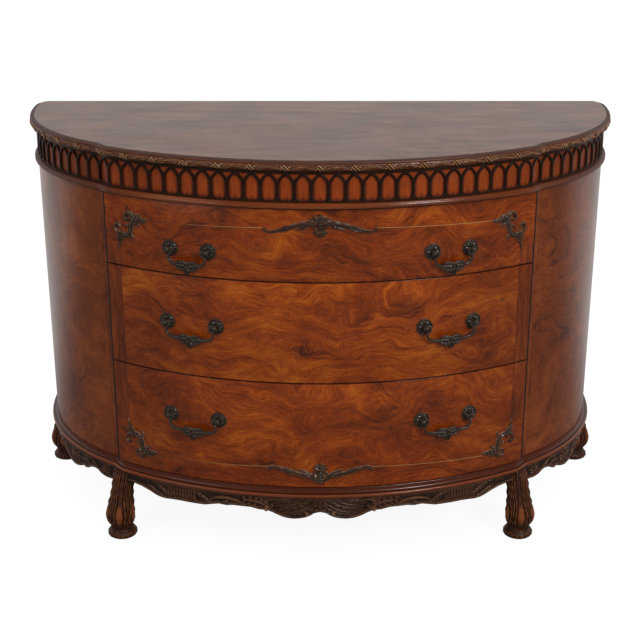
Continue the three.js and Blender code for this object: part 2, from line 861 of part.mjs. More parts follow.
// The cartouche: two leafy wings with curled tips, a crown, and a shell on two short stems
const wingShares = [
  [0.02, 0.76], [0.1, 0.71], [0.22, 0.645], [0.43, 0.52],
  [0.66, 0.37], [0.8, 0.265], [0.9, 0.255], [0.98, 0.34],
];
const wingTaperShares = [1, 0.5];
const shellStemShares = [[0.09, 0.7], [0.05, 0.5], [0.04, 0.2]];
const evenTaperShares = [1, 1];

function cartouche(level, up) {
  const place = ([x, y], side) => new THREE.Vector2(
    side * x * cartoucheHalfWidth,
    level + up * y * cartoucheHeight,
  );
  const pieces = [];
  for (const side of [-1, 1]) {
    const placed = (row) => place(row, side);
    pieces.push(stem(wingShares.map(placed), cartoucheWing, wingTaperShares));
    pieces.push(stem(shellStemShares.map(placed), cartoucheWing / 2, evenTaperShares));
  }
  const shellY = cartoucheShellRadius / cartoucheHeight;
  const crownY = 1 - cartoucheCrownRadius / cartoucheHeight;
  pieces.push(dome(place([0, shellY], 1), cartoucheShellRadius));
  pieces.push(dome(place([0, crownY], 1), cartoucheCrownRadius));
  return joined(pieces);
}

// The corner mount: an S-shaped stem between two balls, a leaf towards the middle and a drop
const cornerStemShares = [
  [0.33, 0.07], [0.42, -0.03], [0.52, 0.03], [0.49, 0.21],
  [0.42, 0.4], [0.26, 0.49], [0.1, 0.47], [0.01, 0.32],
];
const cornerLeafShares = [[0.44, 0], [0.64, 0.03], [0.84, 0.04], [1, 0.03]];
const cornerLeafTaperShares = [1.6, 0.6];
const cornerDropShares = [[0.1, 0.47], [0.06, 0.63], [0, 0.97]];
const cornerDropTaperShares = [1, 0.4];

function cornerMount(side, level, up) {
  const outer = seamLength - cornerFromSeam;
  const place = ([x, y]) => new THREE.Vector2(
    side * (outer - x * cornerWidth),
    level + up * y * cornerHeight,
  );
  return joined([
    stem(cornerStemShares.map(place), cornerStem, evenTaperShares),
    stem(cornerLeafShares.map(place), cornerStem, cornerLeafTaperShares),
    stem(cornerDropShares.map(place), cornerStem, cornerDropTaperShares),
    dome(place(cornerStemShares[0]), cornerBallRadius),
    dome(place(cornerStemShares[cornerStemShares.length - 1]), cornerBallRadius),
  ]);
}

// Assembly

add('top_panel', 'topVeneer', topPanel());
add('top_carved_edge', 'darkWood', carvedEdge());
add('frieze_board', 'friezeGround', friezeBoard());
add('frieze_fret', 'darkWood', friezeFret());
add('waist_moulding', 'moulding', waistMoulding());
add('base_moulding', 'moulding', baseMoulding());
add('case_floor', 'carcass', caseFloor());
add('back_panel', 'carcass', backPanel());
add('dust_panel_upper', 'carcass', dustPanel(upperSplit));
add('dust_panel_lower', 'carcass', dustPanel(lowerSplit));
add('apron_front', 'darkWood', frontApron());

const sides = [['left', -1], ['right', 1]];
for (const [name, side] of sides) {
  add(`side_panel_${name}`, 'veneerSide', sidePanel(side));
  add(`partition_${name}`, 'moulding', partition(side));
  add(`apron_${name}`, 'darkWood', sideApron(side));
}
for (const [name, foot] of Object.entries(feet)) add(`foot_${name}`, 'darkWood', footSolid(foot, 0));

function addHandle(drawer, name, side, level, spacing) {
  const frame = new THREE.Group();
  const angle = side * Math.asin((seamHalfWidth - handleFromSeam) / bowRadius);
  const centre = bowPoint(bowRadius, angle);
  frame.position.set(centre.x, centre.y, level);
  frame.rotation.z = angle;
  chest.add(frame);
  for (const [end, hand] of sides) {
    const turned = hand * postAngle(spacing / 2);
    const post = add(`${drawer}_rosette_${name}_${end}`, 'bronze', rosette(hand * spacing / 2, -hand), frame);
    const reach = bowRadius + bowJointGap;
    post.position.set(reach * Math.sin(turned), bowRadius - reach * Math.cos(turned), 0);
    post.rotation.z = turned;
  }
  const swing = add(`${drawer}_bail_${name}`, 'bronze', bail(spacing), frame);
  swing.position.y = -hingeLine(spacing).out;
}

const drawers = [
  ['drawer_top', upperSplit, waistBottom, upperHandleBelowTop, upperPostSpacing],
  ['drawer_middle', lowerSplit, upperSplit, middleHandleBelowTop, lowerPostSpacing],
  ['drawer_bottom', baseTop, lowerSplit, lowerHandleBelowTop, lowerPostSpacing],
];
for (const [name, low, high, handleBelow, spacing] of drawers) {
  const runner = name === 'drawer_bottom' ? floorTop : low + dustPanelThickness / 2;
  const boxLow = runner + runnerGap;
  const boxHigh = high - (high === waistBottom ? 0 : dustPanelThickness / 2) - drawerSideDrop;
  const bottomLow = boxLow + drawerBottomLift;
  add(`${name}_front`, 'veneer', drawerFront(low, high));
  add(`${name}_side_left`, 'carcass', drawerSide(-1, boxLow, boxHigh));
  add(`${name}_side_right`, 'carcass', drawerSide(1, boxLow, boxHigh));
  add(`${name}_back`, 'carcass', drawerBack(bottomLow + drawerBottomThickness + jointGap, boxHigh));
  add(`${name}_bottom`, 'carcass', drawerBottom(bottomLow));
  for (const [side, hand] of sides) addHandle(name, side, hand, high - handleBelow, spacing);
}

for (const [name, level, up] of [
  ['top', waistBottom - cartoucheInset, 1],
  ['bottom', baseTop + cartoucheInset, -1],
]) {
  add(`cartouche_${name}`, 'darkWood', cartouche(level - up * cartoucheHeight, up));
  const line = level - up * cornerInset;
  for (const [side, hand] of sides) add(`corner_${name}_${side}`, 'darkWood', cornerMount(hand, line, -up));
}

export default chest;
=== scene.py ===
import json
import math

import bmesh
import bpy
import numpy as np
from mathutils import Matrix, Vector


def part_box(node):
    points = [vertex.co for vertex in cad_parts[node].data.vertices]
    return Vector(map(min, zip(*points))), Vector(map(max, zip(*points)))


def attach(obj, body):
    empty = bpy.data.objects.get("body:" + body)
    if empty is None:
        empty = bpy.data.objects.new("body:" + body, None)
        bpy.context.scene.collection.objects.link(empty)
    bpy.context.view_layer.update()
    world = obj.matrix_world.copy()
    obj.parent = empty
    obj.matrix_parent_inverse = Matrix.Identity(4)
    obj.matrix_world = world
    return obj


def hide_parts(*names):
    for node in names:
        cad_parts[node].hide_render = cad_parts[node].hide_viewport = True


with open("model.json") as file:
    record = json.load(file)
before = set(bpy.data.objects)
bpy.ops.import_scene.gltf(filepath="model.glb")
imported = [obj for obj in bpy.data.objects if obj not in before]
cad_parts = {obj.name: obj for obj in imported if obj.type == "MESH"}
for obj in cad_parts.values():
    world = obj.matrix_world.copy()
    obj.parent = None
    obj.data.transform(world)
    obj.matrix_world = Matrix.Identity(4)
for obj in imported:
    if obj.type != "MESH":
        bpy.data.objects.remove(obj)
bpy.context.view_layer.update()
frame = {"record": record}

mm = 0.001
tau = 2 * math.pi
record = frame["record"]

# The body and the finish of each node
bodyOf = {node: body for body, nodes in record["behaviour"]["bodies"].items() for node in nodes}
print("frame loaded:", len(bodyOf), "nodes")

# Camera, where the photograph was taken from
cameraView = {
    "place": (0, -2.8383, 1.5547),
    "tilt": 69.04,            # degrees from straight down
    "lens": 74.83,
    "sensor": 36,             # its width in mm
    "shift": (-0.0003, 0.0018),
    "clipEnd": 200,
}


def addObject(name, data):
    added = bpy.data.objects.new(name, data)
    bpy.context.scene.collection.objects.link(added)
    return added


def makeCamera(view):
    data = bpy.data.cameras.new("camera")
    data.sensor_width = view["sensor"]
    data.lens = view["lens"]
    data.shift_x, data.shift_y = view["shift"]
    data.clip_end = view["clipEnd"]
    camera = addObject("camera", data)
    camera.location = view["place"]
    camera.rotation_euler = (math.radians(view["tilt"]), 0, 0)
    bpy.context.scene.camera = camera


makeCamera(cameraView)
print("camera placed")

# Plan of the case: the wall that every front piece follows
plan = {
    "bowDepth": 0.575,
    "bowRise": 0.135,
    "seamHalfWidth": 0.455,
    "caseHalfWidth": 0.656,
    "widestFromBack": 0.034,
    "backCornerInset": 0.014,
    "sideRoundness": 2.25,
    "breakStep": 0.011,       # how far the bow stands out of the sides
    "breakSpan": (-0.024, 0.018),     # where it falls back to them, from the seam
    "breakMargin": 0.004,     # how far past it the stations stay close together
    "breakStations": 31,
    "samples": 600,
}
hands = {"left": -1, "right": 1}      # the sign of x on each side
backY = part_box("back_panel")[1].y
bowRadius = (plan["seamHalfWidth"] ** 2 + plan["bowRise"] ** 2) / (2 * plan["bowRise"])
bowCentreY = backY + bowRadius - plan["bowDepth"]
seamAngle = math.asin(plan["seamHalfWidth"] / bowRadius)
seamLength = (bowRadius - plan["breakStep"]) * seamAngle


def makeWall():
    share = np.linspace(0, 1, plan["samples"])
    radius = bowRadius - plan["breakStep"]
    angle = seamAngle * share
    bow = [radius * np.sin(angle), bowCentreY - radius * np.cos(angle), np.sin(angle), -np.cos(angle)]
    seamX, seamY = bow[0][-1], bow[1][-1] - backY
    a, n = plan["caseHalfWidth"], plan["sideRoundness"]
    b = (-seamY - plan["widestFromBack"]) / (1 - (seamX / a) ** n) ** (1 / n)
    share = share[1:]
    turn = math.asin((seamX / a) ** (n / 2)) * (1 - share) + math.pi / 2 * share
    across = np.sin(turn) ** (2 / n)
    along = np.maximum(np.cos(turn), 0) ** (2 / n)
    widestY = backY - plan["widestFromBack"]
    side = [a * across, widestY - b * along, across ** (n - 1) / a, -(along ** (n - 1)) / b]
    corner = [
        a - plan["backCornerInset"] * share ** 2,
        widestY + plan["widestFromBack"] * share,
        np.ones_like(share),
        np.zeros_like(share),
    ]
    x, y, nx, ny = (np.concatenate(parts) for parts in zip(bow, side, corner))
    size = np.hypot(nx, ny)
    s = np.concatenate([[0], np.cumsum(np.hypot(np.diff(x), np.diff(y)))])
    return {"s": s, "x": x, "y": y, "nx": nx / size, "ny": ny / size}


wall = makeWall()
halfLength = wall["s"][-1]


def smoothStep(value, low, high):
    share = np.clip((value - low) / (high - low), 0, 1)
    return share * share * (3 - 2 * share)


# Joins coordinates of matching shapes into points
def together(*parts):
    return np.stack(np.broadcast_arrays(*parts), axis=-1)


# Points of the plain wall, a distance out of it, on the left where side is negative
def offWall(along, out, z, side):
    x, y, nx, ny = (np.interp(along, wall["s"], wall[key]) for key in ("x", "y", "nx", "ny"))
    return together(side * (x + nx * out), np.minimum(y + ny * out, backY), z)


# The point at length s from the middle of the front, a distance out of the wall, at height z
def onWall(s, out, z):
    s, out, z = np.broadcast_arrays(np.asarray(s, float), out, z)
    along = np.minimum(np.abs(s), halfLength)
    turn = smoothStep(along, *(seamLength + span for span in plan["breakSpan"]))
    return offWall(along, out + plan["breakStep"] * (1 - turn), z, np.sign(s))


# Levels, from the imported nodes
level = {"top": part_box("top_panel")[1].z}
for name, node in (("base", "base_moulding"), ("waist", "waist_moulding"), ("carved", "top_carved_edge")):
    level[name + "Low"], level[name + "Top"] = (corner.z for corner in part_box(node))


# Gathers the closed patches of one piece; each point also keeps its place along the wall
class Shape:
    def __init__(self):
        self.points, self.places, self.faces, self.count = [], [], [], 0

    # A patch of closed rings, with a cap at each end
    def grid(self, points, places):
        n, m = points.shape[:2]
        ring = np.arange(m)
        i, j = np.arange(n - 1)[:, None] * m, ring[None, :]
        after = (j + 1) % m
        quads = np.stack([i + j, i + after, i + m + after, i + m + j], axis=-1).reshape(-1, 4)
        self.faces += (quads + self.count).tolist()
        self.faces.append((ring[::-1] + self.count).tolist())
        self.faces.append((ring + (n - 1) * m + self.count).tolist())
        self.points.append(points.reshape(-1, 3))
        self.places.append(places.reshape(-1, 3))
        self.count += n * m

    # The same on the wall, from lengths, distances out and heights
    def wrap(self, s, out, z):
        self.grid(onWall(s, out, z), together(s, z, out))

    # Makes the finished piece that stands for a node of the frame
    def make(self, node, material, sharp=38):
        name = node + "_finished"
        mesh = bpy.data.meshes.new(name)
        mesh.from_pydata(np.concatenate(self.points).tolist(), [], self.faces)
        place = mesh.attributes.new("wall", "FLOAT_VECTOR", "POINT")
        place.data.foreach_set("vector", np.concatenate(self.places).astype(np.float32).ravel())
        work = bmesh.new()
        work.from_mesh(mesh)
        bmesh.ops.recalc_face_normals(work, faces=work.faces)
        work.to_mesh(mesh)
        work.free()
        mesh.shade_smooth()
        mesh.set_sharp_from_angle(angle=math.radians(sharp))
        mesh.materials.append(material)
        piece = addObject(name, mesh)
        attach(piece, bodyOf[node])
        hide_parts(node)


# Stations along the wall, closer together where it steps at the seams
def stations(step):
    even = np.linspace(-halfLength, halfLength, round(2 * halfLength / step))
    low, high = plan["breakSpan"]
    margin = plan["breakMargin"]
    turn = seamLength + np.linspace(low - margin, high + margin, plan["breakStations"])
    both = np.concatenate([even, turn, -turn])
    return np.unique(both[np.abs(both) <= halfLength])


# A moulding of one closed section, given as rows of distance out and height
def sweep(shape, along, section):
    out, z = np.array(section).T
    shape.wrap(along[:, None], out, z)


# A board over the whole case: rows of distance out in mm and height, and corners behind the wall
def slab(shape, along, rows, behind=()):
    rings = np.array([
        np.vstack([onWall(along, out * mm, z), *[[(x, y, z)] for x, y in behind]]) for out, z in rows
    ])
    s = np.concatenate([along, np.zeros(len(behind))])
    out = np.array([out * mm for out, z in rows])[:, None]
    shape.grid(rings, together(s[None, :], rings[:, :, 2], out))


def arc(centre, radius, start, end, count):
    turn = np.radians(np.linspace(start, end, count))
    return [(centre[0] + radius * math.cos(a), centre[1] + radius * math.sin(a)) for a in turn]


def smoothPath(points, steps):
    p = np.asarray(points, float)
    p = np.vstack([2 * p[0] - p[1], p, 2 * p[-1] - p[-2]])
    t = (np.arange(steps) / steps)[:, None]
    runs = [
        0.5 * (2 * b + (c - a) * t + (2 * a - 5 * b + 4 * c - d) * t ** 2 + (3 * b - a - 3 * c + d) * t ** 3)
        for a, b, c, d in zip(p, p[1:], p[2:], p[3:])
    ]
    return np.vstack([*runs, p[-2:-1]])


# A way of laying flat carving, drawn in length and height, on the wall
def ontoWall(out, side=1):
    def lay(a, b, lift):
        s = side * a
        return onWall(s, out + lift, b), together(s, b, out + lift)
    return lay


# The same in the plane of a turned frame, whose -y looks out
def ontoFrame(matrix, side=1):
    turned = np.array(matrix)

    def lay(a, b, lift):
        local = together(side * a, -lift, b)
        return local @ turned[:3, :3].T + turned[:3, 3], local
    return lay


# Moves another way of laying out and down, and turns it over about half the height flip if one is given
def shifted(place, flip, outer=0, lower=0):
    def lay(a, b, up):
        b = b - lower
        return place(a + outer, flip - b if flip else b, up)
    return lay


# The way that an angle from straight up points to, in length and height
def ray(turn):
    return np.array([math.sin(math.radians(turn)), math.cos(math.radians(turn))])


# How carving is cut, mostly as shares of a stroke's width and height
cut = {
    "fullness": 2.4,          # of a stroke's crowned section
    "flute": 0.2,             # how deep its flutes are
    "lobe": (0.66, 0.34),     # a leaf's width between its lobes, and what a lobe adds
    "vein": (0.78, 0.16),     # its height, and what its veins add
    "midrib": (0.12, 0.16),   # the height and the width of its midrib
}


# A carved stroke along a path: a crowned section, with flutes along it or lobes and veins as on a leaf
def stroke(shape, lay, path, widths, heights, flutes=0, lobes=0, across=9, steps=6, back=0, crown=0.5,
           lift=0):
    path = smoothPath(np.array(path) * mm, steps)
    run = np.concatenate([[0], np.cumsum(np.hypot(*np.diff(path, axis=0).T))])
    u = (run / run[-1])[:, None]
    width = np.interp(u, np.linspace(0, 1, len(widths)), widths) * mm
    height = np.interp(u, np.linspace(0, 1, len(heights)), heights) * mm
    way = np.gradient(path, axis=0)
    way /= np.hypot(*way.T)[:, None]
    t = np.linspace(-1, 1, across)[None, :]
    relief = np.maximum(1 - np.abs(t) ** cut["fullness"], 0) ** crown * np.ones_like(u)
    if flutes:
        relief = relief * (1 - cut["flute"] + cut["flute"] * np.cos(flutes * tau * t / 2))
    if lobes:
        base, more = cut["lobe"]
        width = width * (base + more * np.abs(np.sin(math.pi * (lobes * u + 0.15))) ** 0.6)
        base, more = cut["vein"]
        rib, ribWidth = cut["midrib"]
        vein = base + more * np.cos(tau * (lobes * u - 0.55 * np.abs(t)))
        relief = relief * vein + rib * np.exp(-(t / ribWidth) ** 2)
    a = path[:, :1] - way[:, 1:] * t * width
    b = path[:, 1:] + way[:, :1] * t * width
    up = lift * mm + height * relief
    if back:
        inner = slice(across - 2, 0, -1)
        a, b = np.hstack([a, a[:, inner]]), np.hstack([b, b[:, inner]])
        up = np.hstack([up, lift * mm - back * height * np.maximum(relief[:, inner], 0.2)])
    shape.grid(*lay(a, b, up))


# Several strokes, as rows of path, widths and heights, and of what sets some of them apart
def carve(shape, lay, rows, **style):
    for path, widths, heights, *own in rows:
        stroke(shape, lay, path, widths, heights, **{**style, **dict(*own)})


# A round boss, or with petals a small flower
def boss(shape, lay, centre, radius, height, petals=0, notch=0.3, lift=0, sides=20, back=0):
    turn = np.linspace(0, tau, sides * (2 if petals else 1), endpoint=False)[None, :]
    start, count = (-88, 14) if back else (0, 8)
    rise = np.radians(np.linspace(start, 82, count)[:, None])
    rho = np.cos(rise)
    up = np.sin(rise) * np.ones_like(turn)
    if petals:
        petal = np.abs(np.cos(petals * turn / 2))
        rho = rho * (1 - notch * (1 - petal ** 0.7))
        up = up * (1 - 0.25 * (1 - petal))
    a = (centre[0] + radius * rho * np.cos(turn)) * mm
    b = (centre[1] + radius * rho * np.sin(turn)) * mm
    shape.grid(*lay(a, b, (lift + height * up) * mm))


print("wall and carving tools ready")

# Materials


# The linear colour of a hex code
def paint(code):
    parts = [(code >> shift & 255) / 255 for shift in (16, 8, 0)]
    return (*(c / 12.92 if c <= 0.04045 else ((c + 0.055) / 1.055) ** 2.4 for c in parts), 1)


# A node's socket that can stand in sums
class Wire:
    def __init__(self, recipe, node, output=0):
        self.recipe, self.node = recipe, node
        self.socket = node.outputs[output] if len(node.outputs) else None

    def other(self, output):
        return Wire(self.recipe, self.node, output)

    def __add__(self, value):
        return self.recipe.maths("ADD", self, value)

    def __sub__(self, value):
        return self.recipe.maths("SUBTRACT", self, value)

    def __rsub__(self, value):
        return self.recipe.maths("SUBTRACT", value, self)

    def __mul__(self, value):
        return self.recipe.maths("MULTIPLY", self, value)

    def __abs__(self):
        return self.recipe.maths("ABSOLUTE", self)

    __radd__ = __add__
    __rmul__ = __mul__


# Builds the nodes of a new material, or of the world; its mixes and ramps take colours as hex codes
class Recipe:
    def __init__(self, name, owner=None):
        self.owner = owner or bpy.data.materials.new(name)
        self.owner.use_nodes = True
        self.tree = self.owner.node_tree
        self.tree.nodes.clear()

    # Adds a node: its settings first, then the values or links of its sockets
    def add(self, kind, settings=None, values=()):
        node = self.tree.nodes.new("ShaderNode" + kind)
        for name, setting in (settings or {}).items():
            if name == "stops":
                self.stops(node.color_ramp.elements, setting)
            else:
                setattr(node, name, setting)
        for key, value in values.items() if isinstance(values, dict) else enumerate(values):
            if isinstance(value, Wire):
                self.tree.links.new(value.socket, node.inputs[key])
            else:
                node.inputs[key].default_value = value
        return Wire(self, node)

    def maths(self, operation, *values):
        return self.add("Math", {"operation": operation}, values)

    def stops(self, elements, rows):
        while len(elements) < len(rows):
            elements.new(1)
        for element, (position, code) in zip(elements, rows):
            element.position, element.color = position, paint(code)

    def mix(self, factor, a, b):
        a, b = (paint(colour) if isinstance(colour, int) else colour for colour in (a, b))
        return self.add("Mix", {"data_type": "RGBA"}, {0: factor, 6: a, 7: b}).other(2)

    def ramp(self, value, *stops):
        return self.add("ValToRGB", {"stops": stops}, {0: value})

    def noise(self, vector, scale, detail=2, roughness=0.5, distortion=0):
        values = {"Scale": scale, "Detail": detail, "Roughness": roughness, "Distortion": distortion}
        return self.add("TexNoise", None, {"Vector": vector, **values})

    # Noise drawn out along the axes
    def grain(self, place, spread, detail=2, roughness=0.5):
        return self.noise(self.vector("MULTIPLY", place, spread), 1, detail, roughness)

    def smooth(self, value, low, high):
        values = {"Value": value, "From Min": low, "From Max": high}
        return self.add("MapRange", {"interpolation_type": "SMOOTHSTEP"}, values)

    def vector(self, operation, *values):
        return self.add("VectorMath", {"operation": operation}, values)

    def parts(self, vector):
        split = self.add("SeparateXYZ", None, (vector,))
        return split, split.other(1), split.other(2)

    def join(self, x, y, z=0):
        return self.add("CombineXYZ", None, (x, y, z))

    # Where a point lies: along the wall, up and out, or in the piece's own space
    def place(self, kind="wall"):
        if kind == "wall":
            return self.add("Attribute", {"attribute_name": "wall"}).other("Vector")
        return self.add("TexCoord").other("Object")

    def finish(self, colour, roughness, height, depth, strength, **values):
        bump = {"Strength": strength, "Distance": depth, "Height": height}
        inputs = {"Base Color": colour, "Roughness": roughness, "Normal": self.add("Bump", None, bump)}
        shader = self.add("BsdfPrincipled", None, {**inputs, **values})
        self.add("OutputMaterial", None, {"Surface": shader})
        return self.owner


# How much patches, streaks, fibres and flecks count in the veneer's tone, and what darkens its veins
burlMix = {
    "tone": (0.27, 0.28, 0.37, 0.08),
    "streakVein": 0.7,
    "fibreVein": 0.4,
    "pores": 0.3,
    "most": 0.85,
    "relief": (0.6, 0.4),     # of the fibres and the pores
}


# Burr walnut: growth lines that flow along the length, bend round the eyes and darken in streaks
def burl(recipe, place, figure):
    moved = recipe.vector("MULTIPLY_ADD", place, figure["spread"], figure["from"])
    bend = recipe.vector("SUBTRACT", recipe.noise(moved, 0.6, 3, 0.55).other("Color"), (0.5, 0.5, 0.5))
    bent = recipe.vector("MULTIPLY_ADD", bend, (figure["bend"],) * 3, moved)
    x, y, z = recipe.parts(bent)
    flow = y * figure["level"] + z * 0.3 + recipe.noise(bent, 0.75, 3, 0.42, 0.2) * figure["swirl"]
    dark = 0
    for s0, z0, radius, depth, shade in figure.get("eyes", ()):
        offset = recipe.vector("SUBTRACT", place, (s0 * mm, z0 * mm, 0))
        reach = recipe.vector("MULTIPLY", offset, (0.8, 1, 0))
        away = recipe.vector("LENGTH", reach).other("Value")
        wobble = away + (recipe.noise(place, 38, 2) - 0.5) * (radius * 0.5 * mm)
        flow = flow + recipe.smooth(wobble, radius * mm, 0) * (depth * 0.7)
        dark = recipe.smooth(wobble, radius * 0.5 * mm, radius * 0.12 * mm) * shade + dark
    fibre = recipe.noise(recipe.join(flow * 25, x * 5.5, z * 2.5), 1, 7, 0.8)
    streak = recipe.noise(recipe.join(flow * 4.6, x * 1.1, z), 1, 5, 0.64)
    patch = recipe.noise(moved, 1.1, 5, 0.62)
    fleck = recipe.grain(place, (190, 520, 190), 3, 0.6)
    patches, streaks, fibres, flecks = burlMix["tone"]
    tone = patch * patches + streak * streaks + fibre * fibres + fleck * flecks + figure.get("lift", 0)
    if "ripple" in figure:
        s0, height, spreadOut = figure["ripple"]
        s = recipe.parts(place)[0]
        wave = recipe.maths("SINE", s * 1150 + patch * 26 + recipe.noise(place, 30, 2) * 16)
        calm = recipe.smooth(abs(s - s0 * mm), spreadOut * mm, 0) * recipe.smooth(patch, 0.4, 0.56)
        tone = tone + wave * calm * height
    colour = recipe.ramp(tone, *figure["tones"])
    pores = recipe.grain(place, (160, 800, 160))
    vein = recipe.smooth(streak, 0.43, 0.3) * recipe.smooth(fibre, 0.6, 0.38) * burlMix["streakVein"]
    vein = vein + recipe.smooth(fibre, 0.4, 0.28) * burlMix["fibreVein"]
    vein = vein + recipe.smooth(pores, 0.6, 0.74) * burlMix["pores"] + dark
    colour = recipe.mix(recipe.maths("MINIMUM", vein, burlMix["most"]), colour, figure["vein"])
    fibres, holes = burlMix["relief"]
    return colour, fibre * fibres + pores * holes


# A clear finish over veneer and mouldings
lacquer = {"Coat Weight": 0.08, "Coat Roughness": 0.1, "IOR": 1.5}

# Veneer of the three drawer fronts, with its stringing and cross-banded ends; lengths in mm
drawerVeneer = {
    "spread": (7, 9, 12),
    "bend": 1.0,
    "level": 1.0,
    "swirl": 1.7,
    "tones": (
        (0.385, 0x4a1c05), (0.452, 0x702b05), (0.5, 0x883606), (0.548, 0xa04709), (0.62, 0xbe6414),
    ),
    "vein": 0x2e1408,
    "end": 0x4e2611,
    "endEdge": (4.2, 3),      # how far from the seam the ends turn to the end colour, and on the front to a painted shadow line
    "shadeFrom": (0.2, 0.4),  # how far from the middle, in metres, painted shade darkens the front towards them
    # Painted shadow: the near-black that stands for the shade in the gaps round each front
    "seam": 0x120603,
    "seamEdge": (1.5, 0.7),   # how far from the edges above and below the painted shadow line begins
    "string": 0xc8935a,
    # The left-hand stringing turns to this towards its outer end: painted shade
    "shadedString": 0x5a3018,
    "stringShade": 0x2a1208,
    "stringWidth": 1.0,
    "bandFrom": 437,          # where the cross-banding starts, from the middle
    "bandCut": (5, 9, 2),
    "bandTone": 0x4e2a16,
    "bandLine": 0x1c0b05,
}
# From the cartouche's tip to the corner leaf's tip: (length, height) in mm
drawerStrings = {
    "drawer_top": ((112, 773), (363, 766.5)),
    "drawer_bottom": ((108, 237), (364, 226)),
}
# Heights where the banding meets the corner scrolls
frameEnds = {"drawer_top": (706, 700), "drawer_bottom": (294, 300)}
# Where each front's veneer is cut from, how much painted shade darkens its left and right ends, and its eyes:
# (length, height, radius) in mm, depth and darkness
drawerFigures = {
    "drawer_top": {
        "from": (3.1, 11.4, 0.3),
        "ends": (0.08, 0.05),
        "eyes": ((90, 701, 60, 0.35, 0.25), (-121, 734, 46, 0.3, 0.22), (-330, 742, 40, 0.3, 0.15)),
        "ripple": (60, 0.02, 210),
    },
    "drawer_middle": {
        "from": (8.7, 2.2, 4.1),
        "lift": 0.016,
        "ends": (0.26, 0.26),
        "eyes": (
            (176, 596, 74, 0.9, 0.4), (396, 587, 16, 0.3, 0.6), (367, 468, 26, 0.4, 0.55),
            (375, 642, 34, 0.3, 0.3), (87, 571, 52, 0.4, 0.2), (-37, 506, 46, 0.35, 0.3),
            (208, 545, 50, 0.3, 0.1),
        ),
        "ripple": (20, 0.022, 230),
    },
    "drawer_bottom": {
        "from": (1.9, 6.3, 7.7),
        "ends": (0.32, 0.2),
        "eyes": (
            (136, 364, 62, 0.8, 0.3), (150, 323, 12, 0.3, 0.6), (-62, 274, 40, 0.5, 0.35),
            (-32, 317, 54, 0.5, 0.12),
        ),
        "ripple": (-20, 0.015, 200),
    },
}


def drawerMaterial(name):
    recipe = Recipe(name + "_veneer")
    veneer, figure = drawerVeneer, drawerFigures[name]
    place = recipe.place()
    s, z, out = recipe.parts(place)
    aside = abs(s)
    colour, height = burl(recipe, place, {**veneer, **figure})
    bandFrom = veneer["bandFrom"] * mm
    half = veneer["stringWidth"] * mm / 2
    framed = recipe.smooth(z, *(end * mm for end in frameEnds[name])) if name in frameEnds else 1
    band = recipe.smooth(aside, bandFrom - half / 2, bandFrom + half / 2) * framed
    turned = recipe.join(z * 0.8, s * 1.6, out)
    bandColour = burl(recipe, turned, {**veneer, "from": veneer["bandCut"]})[0]
    colour = recipe.mix(band, colour, recipe.mix(0.22, bandColour, veneer["bandTone"]))
    # Painted shade: the front darkens towards its ends
    leftEnd, rightEnd = figure["ends"]
    near, far = veneer["shadeFrom"]
    shade = recipe.smooth(s, -near, -far) * leftEnd + recipe.smooth(s, near, far) * rightEnd
    colour = recipe.mix(shade, colour, veneer["vein"])
    end = recipe.smooth(aside, *(seamLength - width * mm for width in veneer["endEdge"]))
    colour = recipe.mix(end, colour, veneer["end"])
    # Painted shadow: dark lines at the front's ends and edges, for the shade in the gaps round it
    front = recipe.smooth(out, -3 * mm, -1.4 * mm)
    low, high = (corner.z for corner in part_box(name + "_front"))
    edges = ((high - low) / 2 - width * mm for width in veneer["seamEdge"])
    arris = recipe.smooth(abs(z - (low + high) / 2), *edges)
    colour = recipe.mix(recipe.maths("MAXIMUM", end, arris * 0.85) * front, colour, veneer["seam"])
    edge = recipe.smooth(abs(aside - bandFrom), half * 1.5, half * 0.5)
    colour = recipe.mix(edge * framed * 0.85, colour, veneer["bandLine"])
    if name in drawerStrings:
        (s1, z1), (s2, z2) = np.array(drawerStrings[name]) * mm
        gap = abs(z - z1 - (aside - s1) * ((z2 - z1) / (s2 - s1)))
        inside = recipe.smooth(aside, s1 - half, s1) * recipe.smooth(aside, s2 + half, s2)
        # Painted shade: the left-hand stringing darkens towards its outer end
        string = recipe.mix(recipe.smooth(s, -s2, -s1), veneer["shadedString"], veneer["string"])
        shadow = recipe.smooth(gap, half * 2.6, half * 1.3) * inside * 0.6
        colour = recipe.mix(shadow, colour, veneer["stringShade"])
        colour = recipe.mix(recipe.smooth(gap, half * 1.3, half * 0.7) * inside, colour, string)
    return recipe.finish(colour, 0.27 - height * 0.06, height, 0.00012, 0.35, **lacquer)
sideVeneer = {
    "spread": (6, 7, 7),
    "from": (4.2, 1.7, 6.6),
    "bend": 1.3,
    "level": 0.5,
    "swirl": 2.2,
    "tones": (
        (0.36, 0x4a210b), (0.44, 0x682d0e), (0.5, 0x7b3811),
        (0.56, 0x8d4516), (0.65, 0xa65a22),
    ),
    "vein": 0x2f160b,
}


def sideMaterial():
    recipe = Recipe("side_veneer")
    colour, height = burl(recipe, recipe.place(), sideVeneer)
    return recipe.finish(colour, 0.27 - height * 0.05, height, 0.00012, 0.35, **lacquer)


# The partitions' front edges show between the sides and the drawers; beside the drawers a painted shadow
# darkens them to a line
partitionEdge = {"front": (12, 8), "line": (3, 2)}      # in mm behind the front edge, and past the seam


def partitionMaterial():
    recipe = Recipe("partition_walnut")
    place = recipe.place("object")
    x, y = recipe.parts(place)[:2]
    grain = recipe.grain(place, (240, 240, 9), 4, 0.6)
    timberColour = recipe.ramp(grain, *zip((0.3, 0.52, 0.75), timber["walnut"]))
    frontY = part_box("partition_left")[0].y
    front = recipe.smooth(y, *(frontY + depth * mm for depth in partitionEdge["front"]))
    colour = recipe.mix(front, timberColour, burl(recipe, place, sideVeneer)[0])
    # Painted shadow of the gap beside the drawer fronts
    line = recipe.smooth(abs(x), *(plan["seamHalfWidth"] + past * mm for past in partitionEdge["line"]))
    colour = recipe.mix(line * front, colour, drawerVeneer["seam"])
    return recipe.finish(colour, 0.5, grain, 0.0002, 0.4)


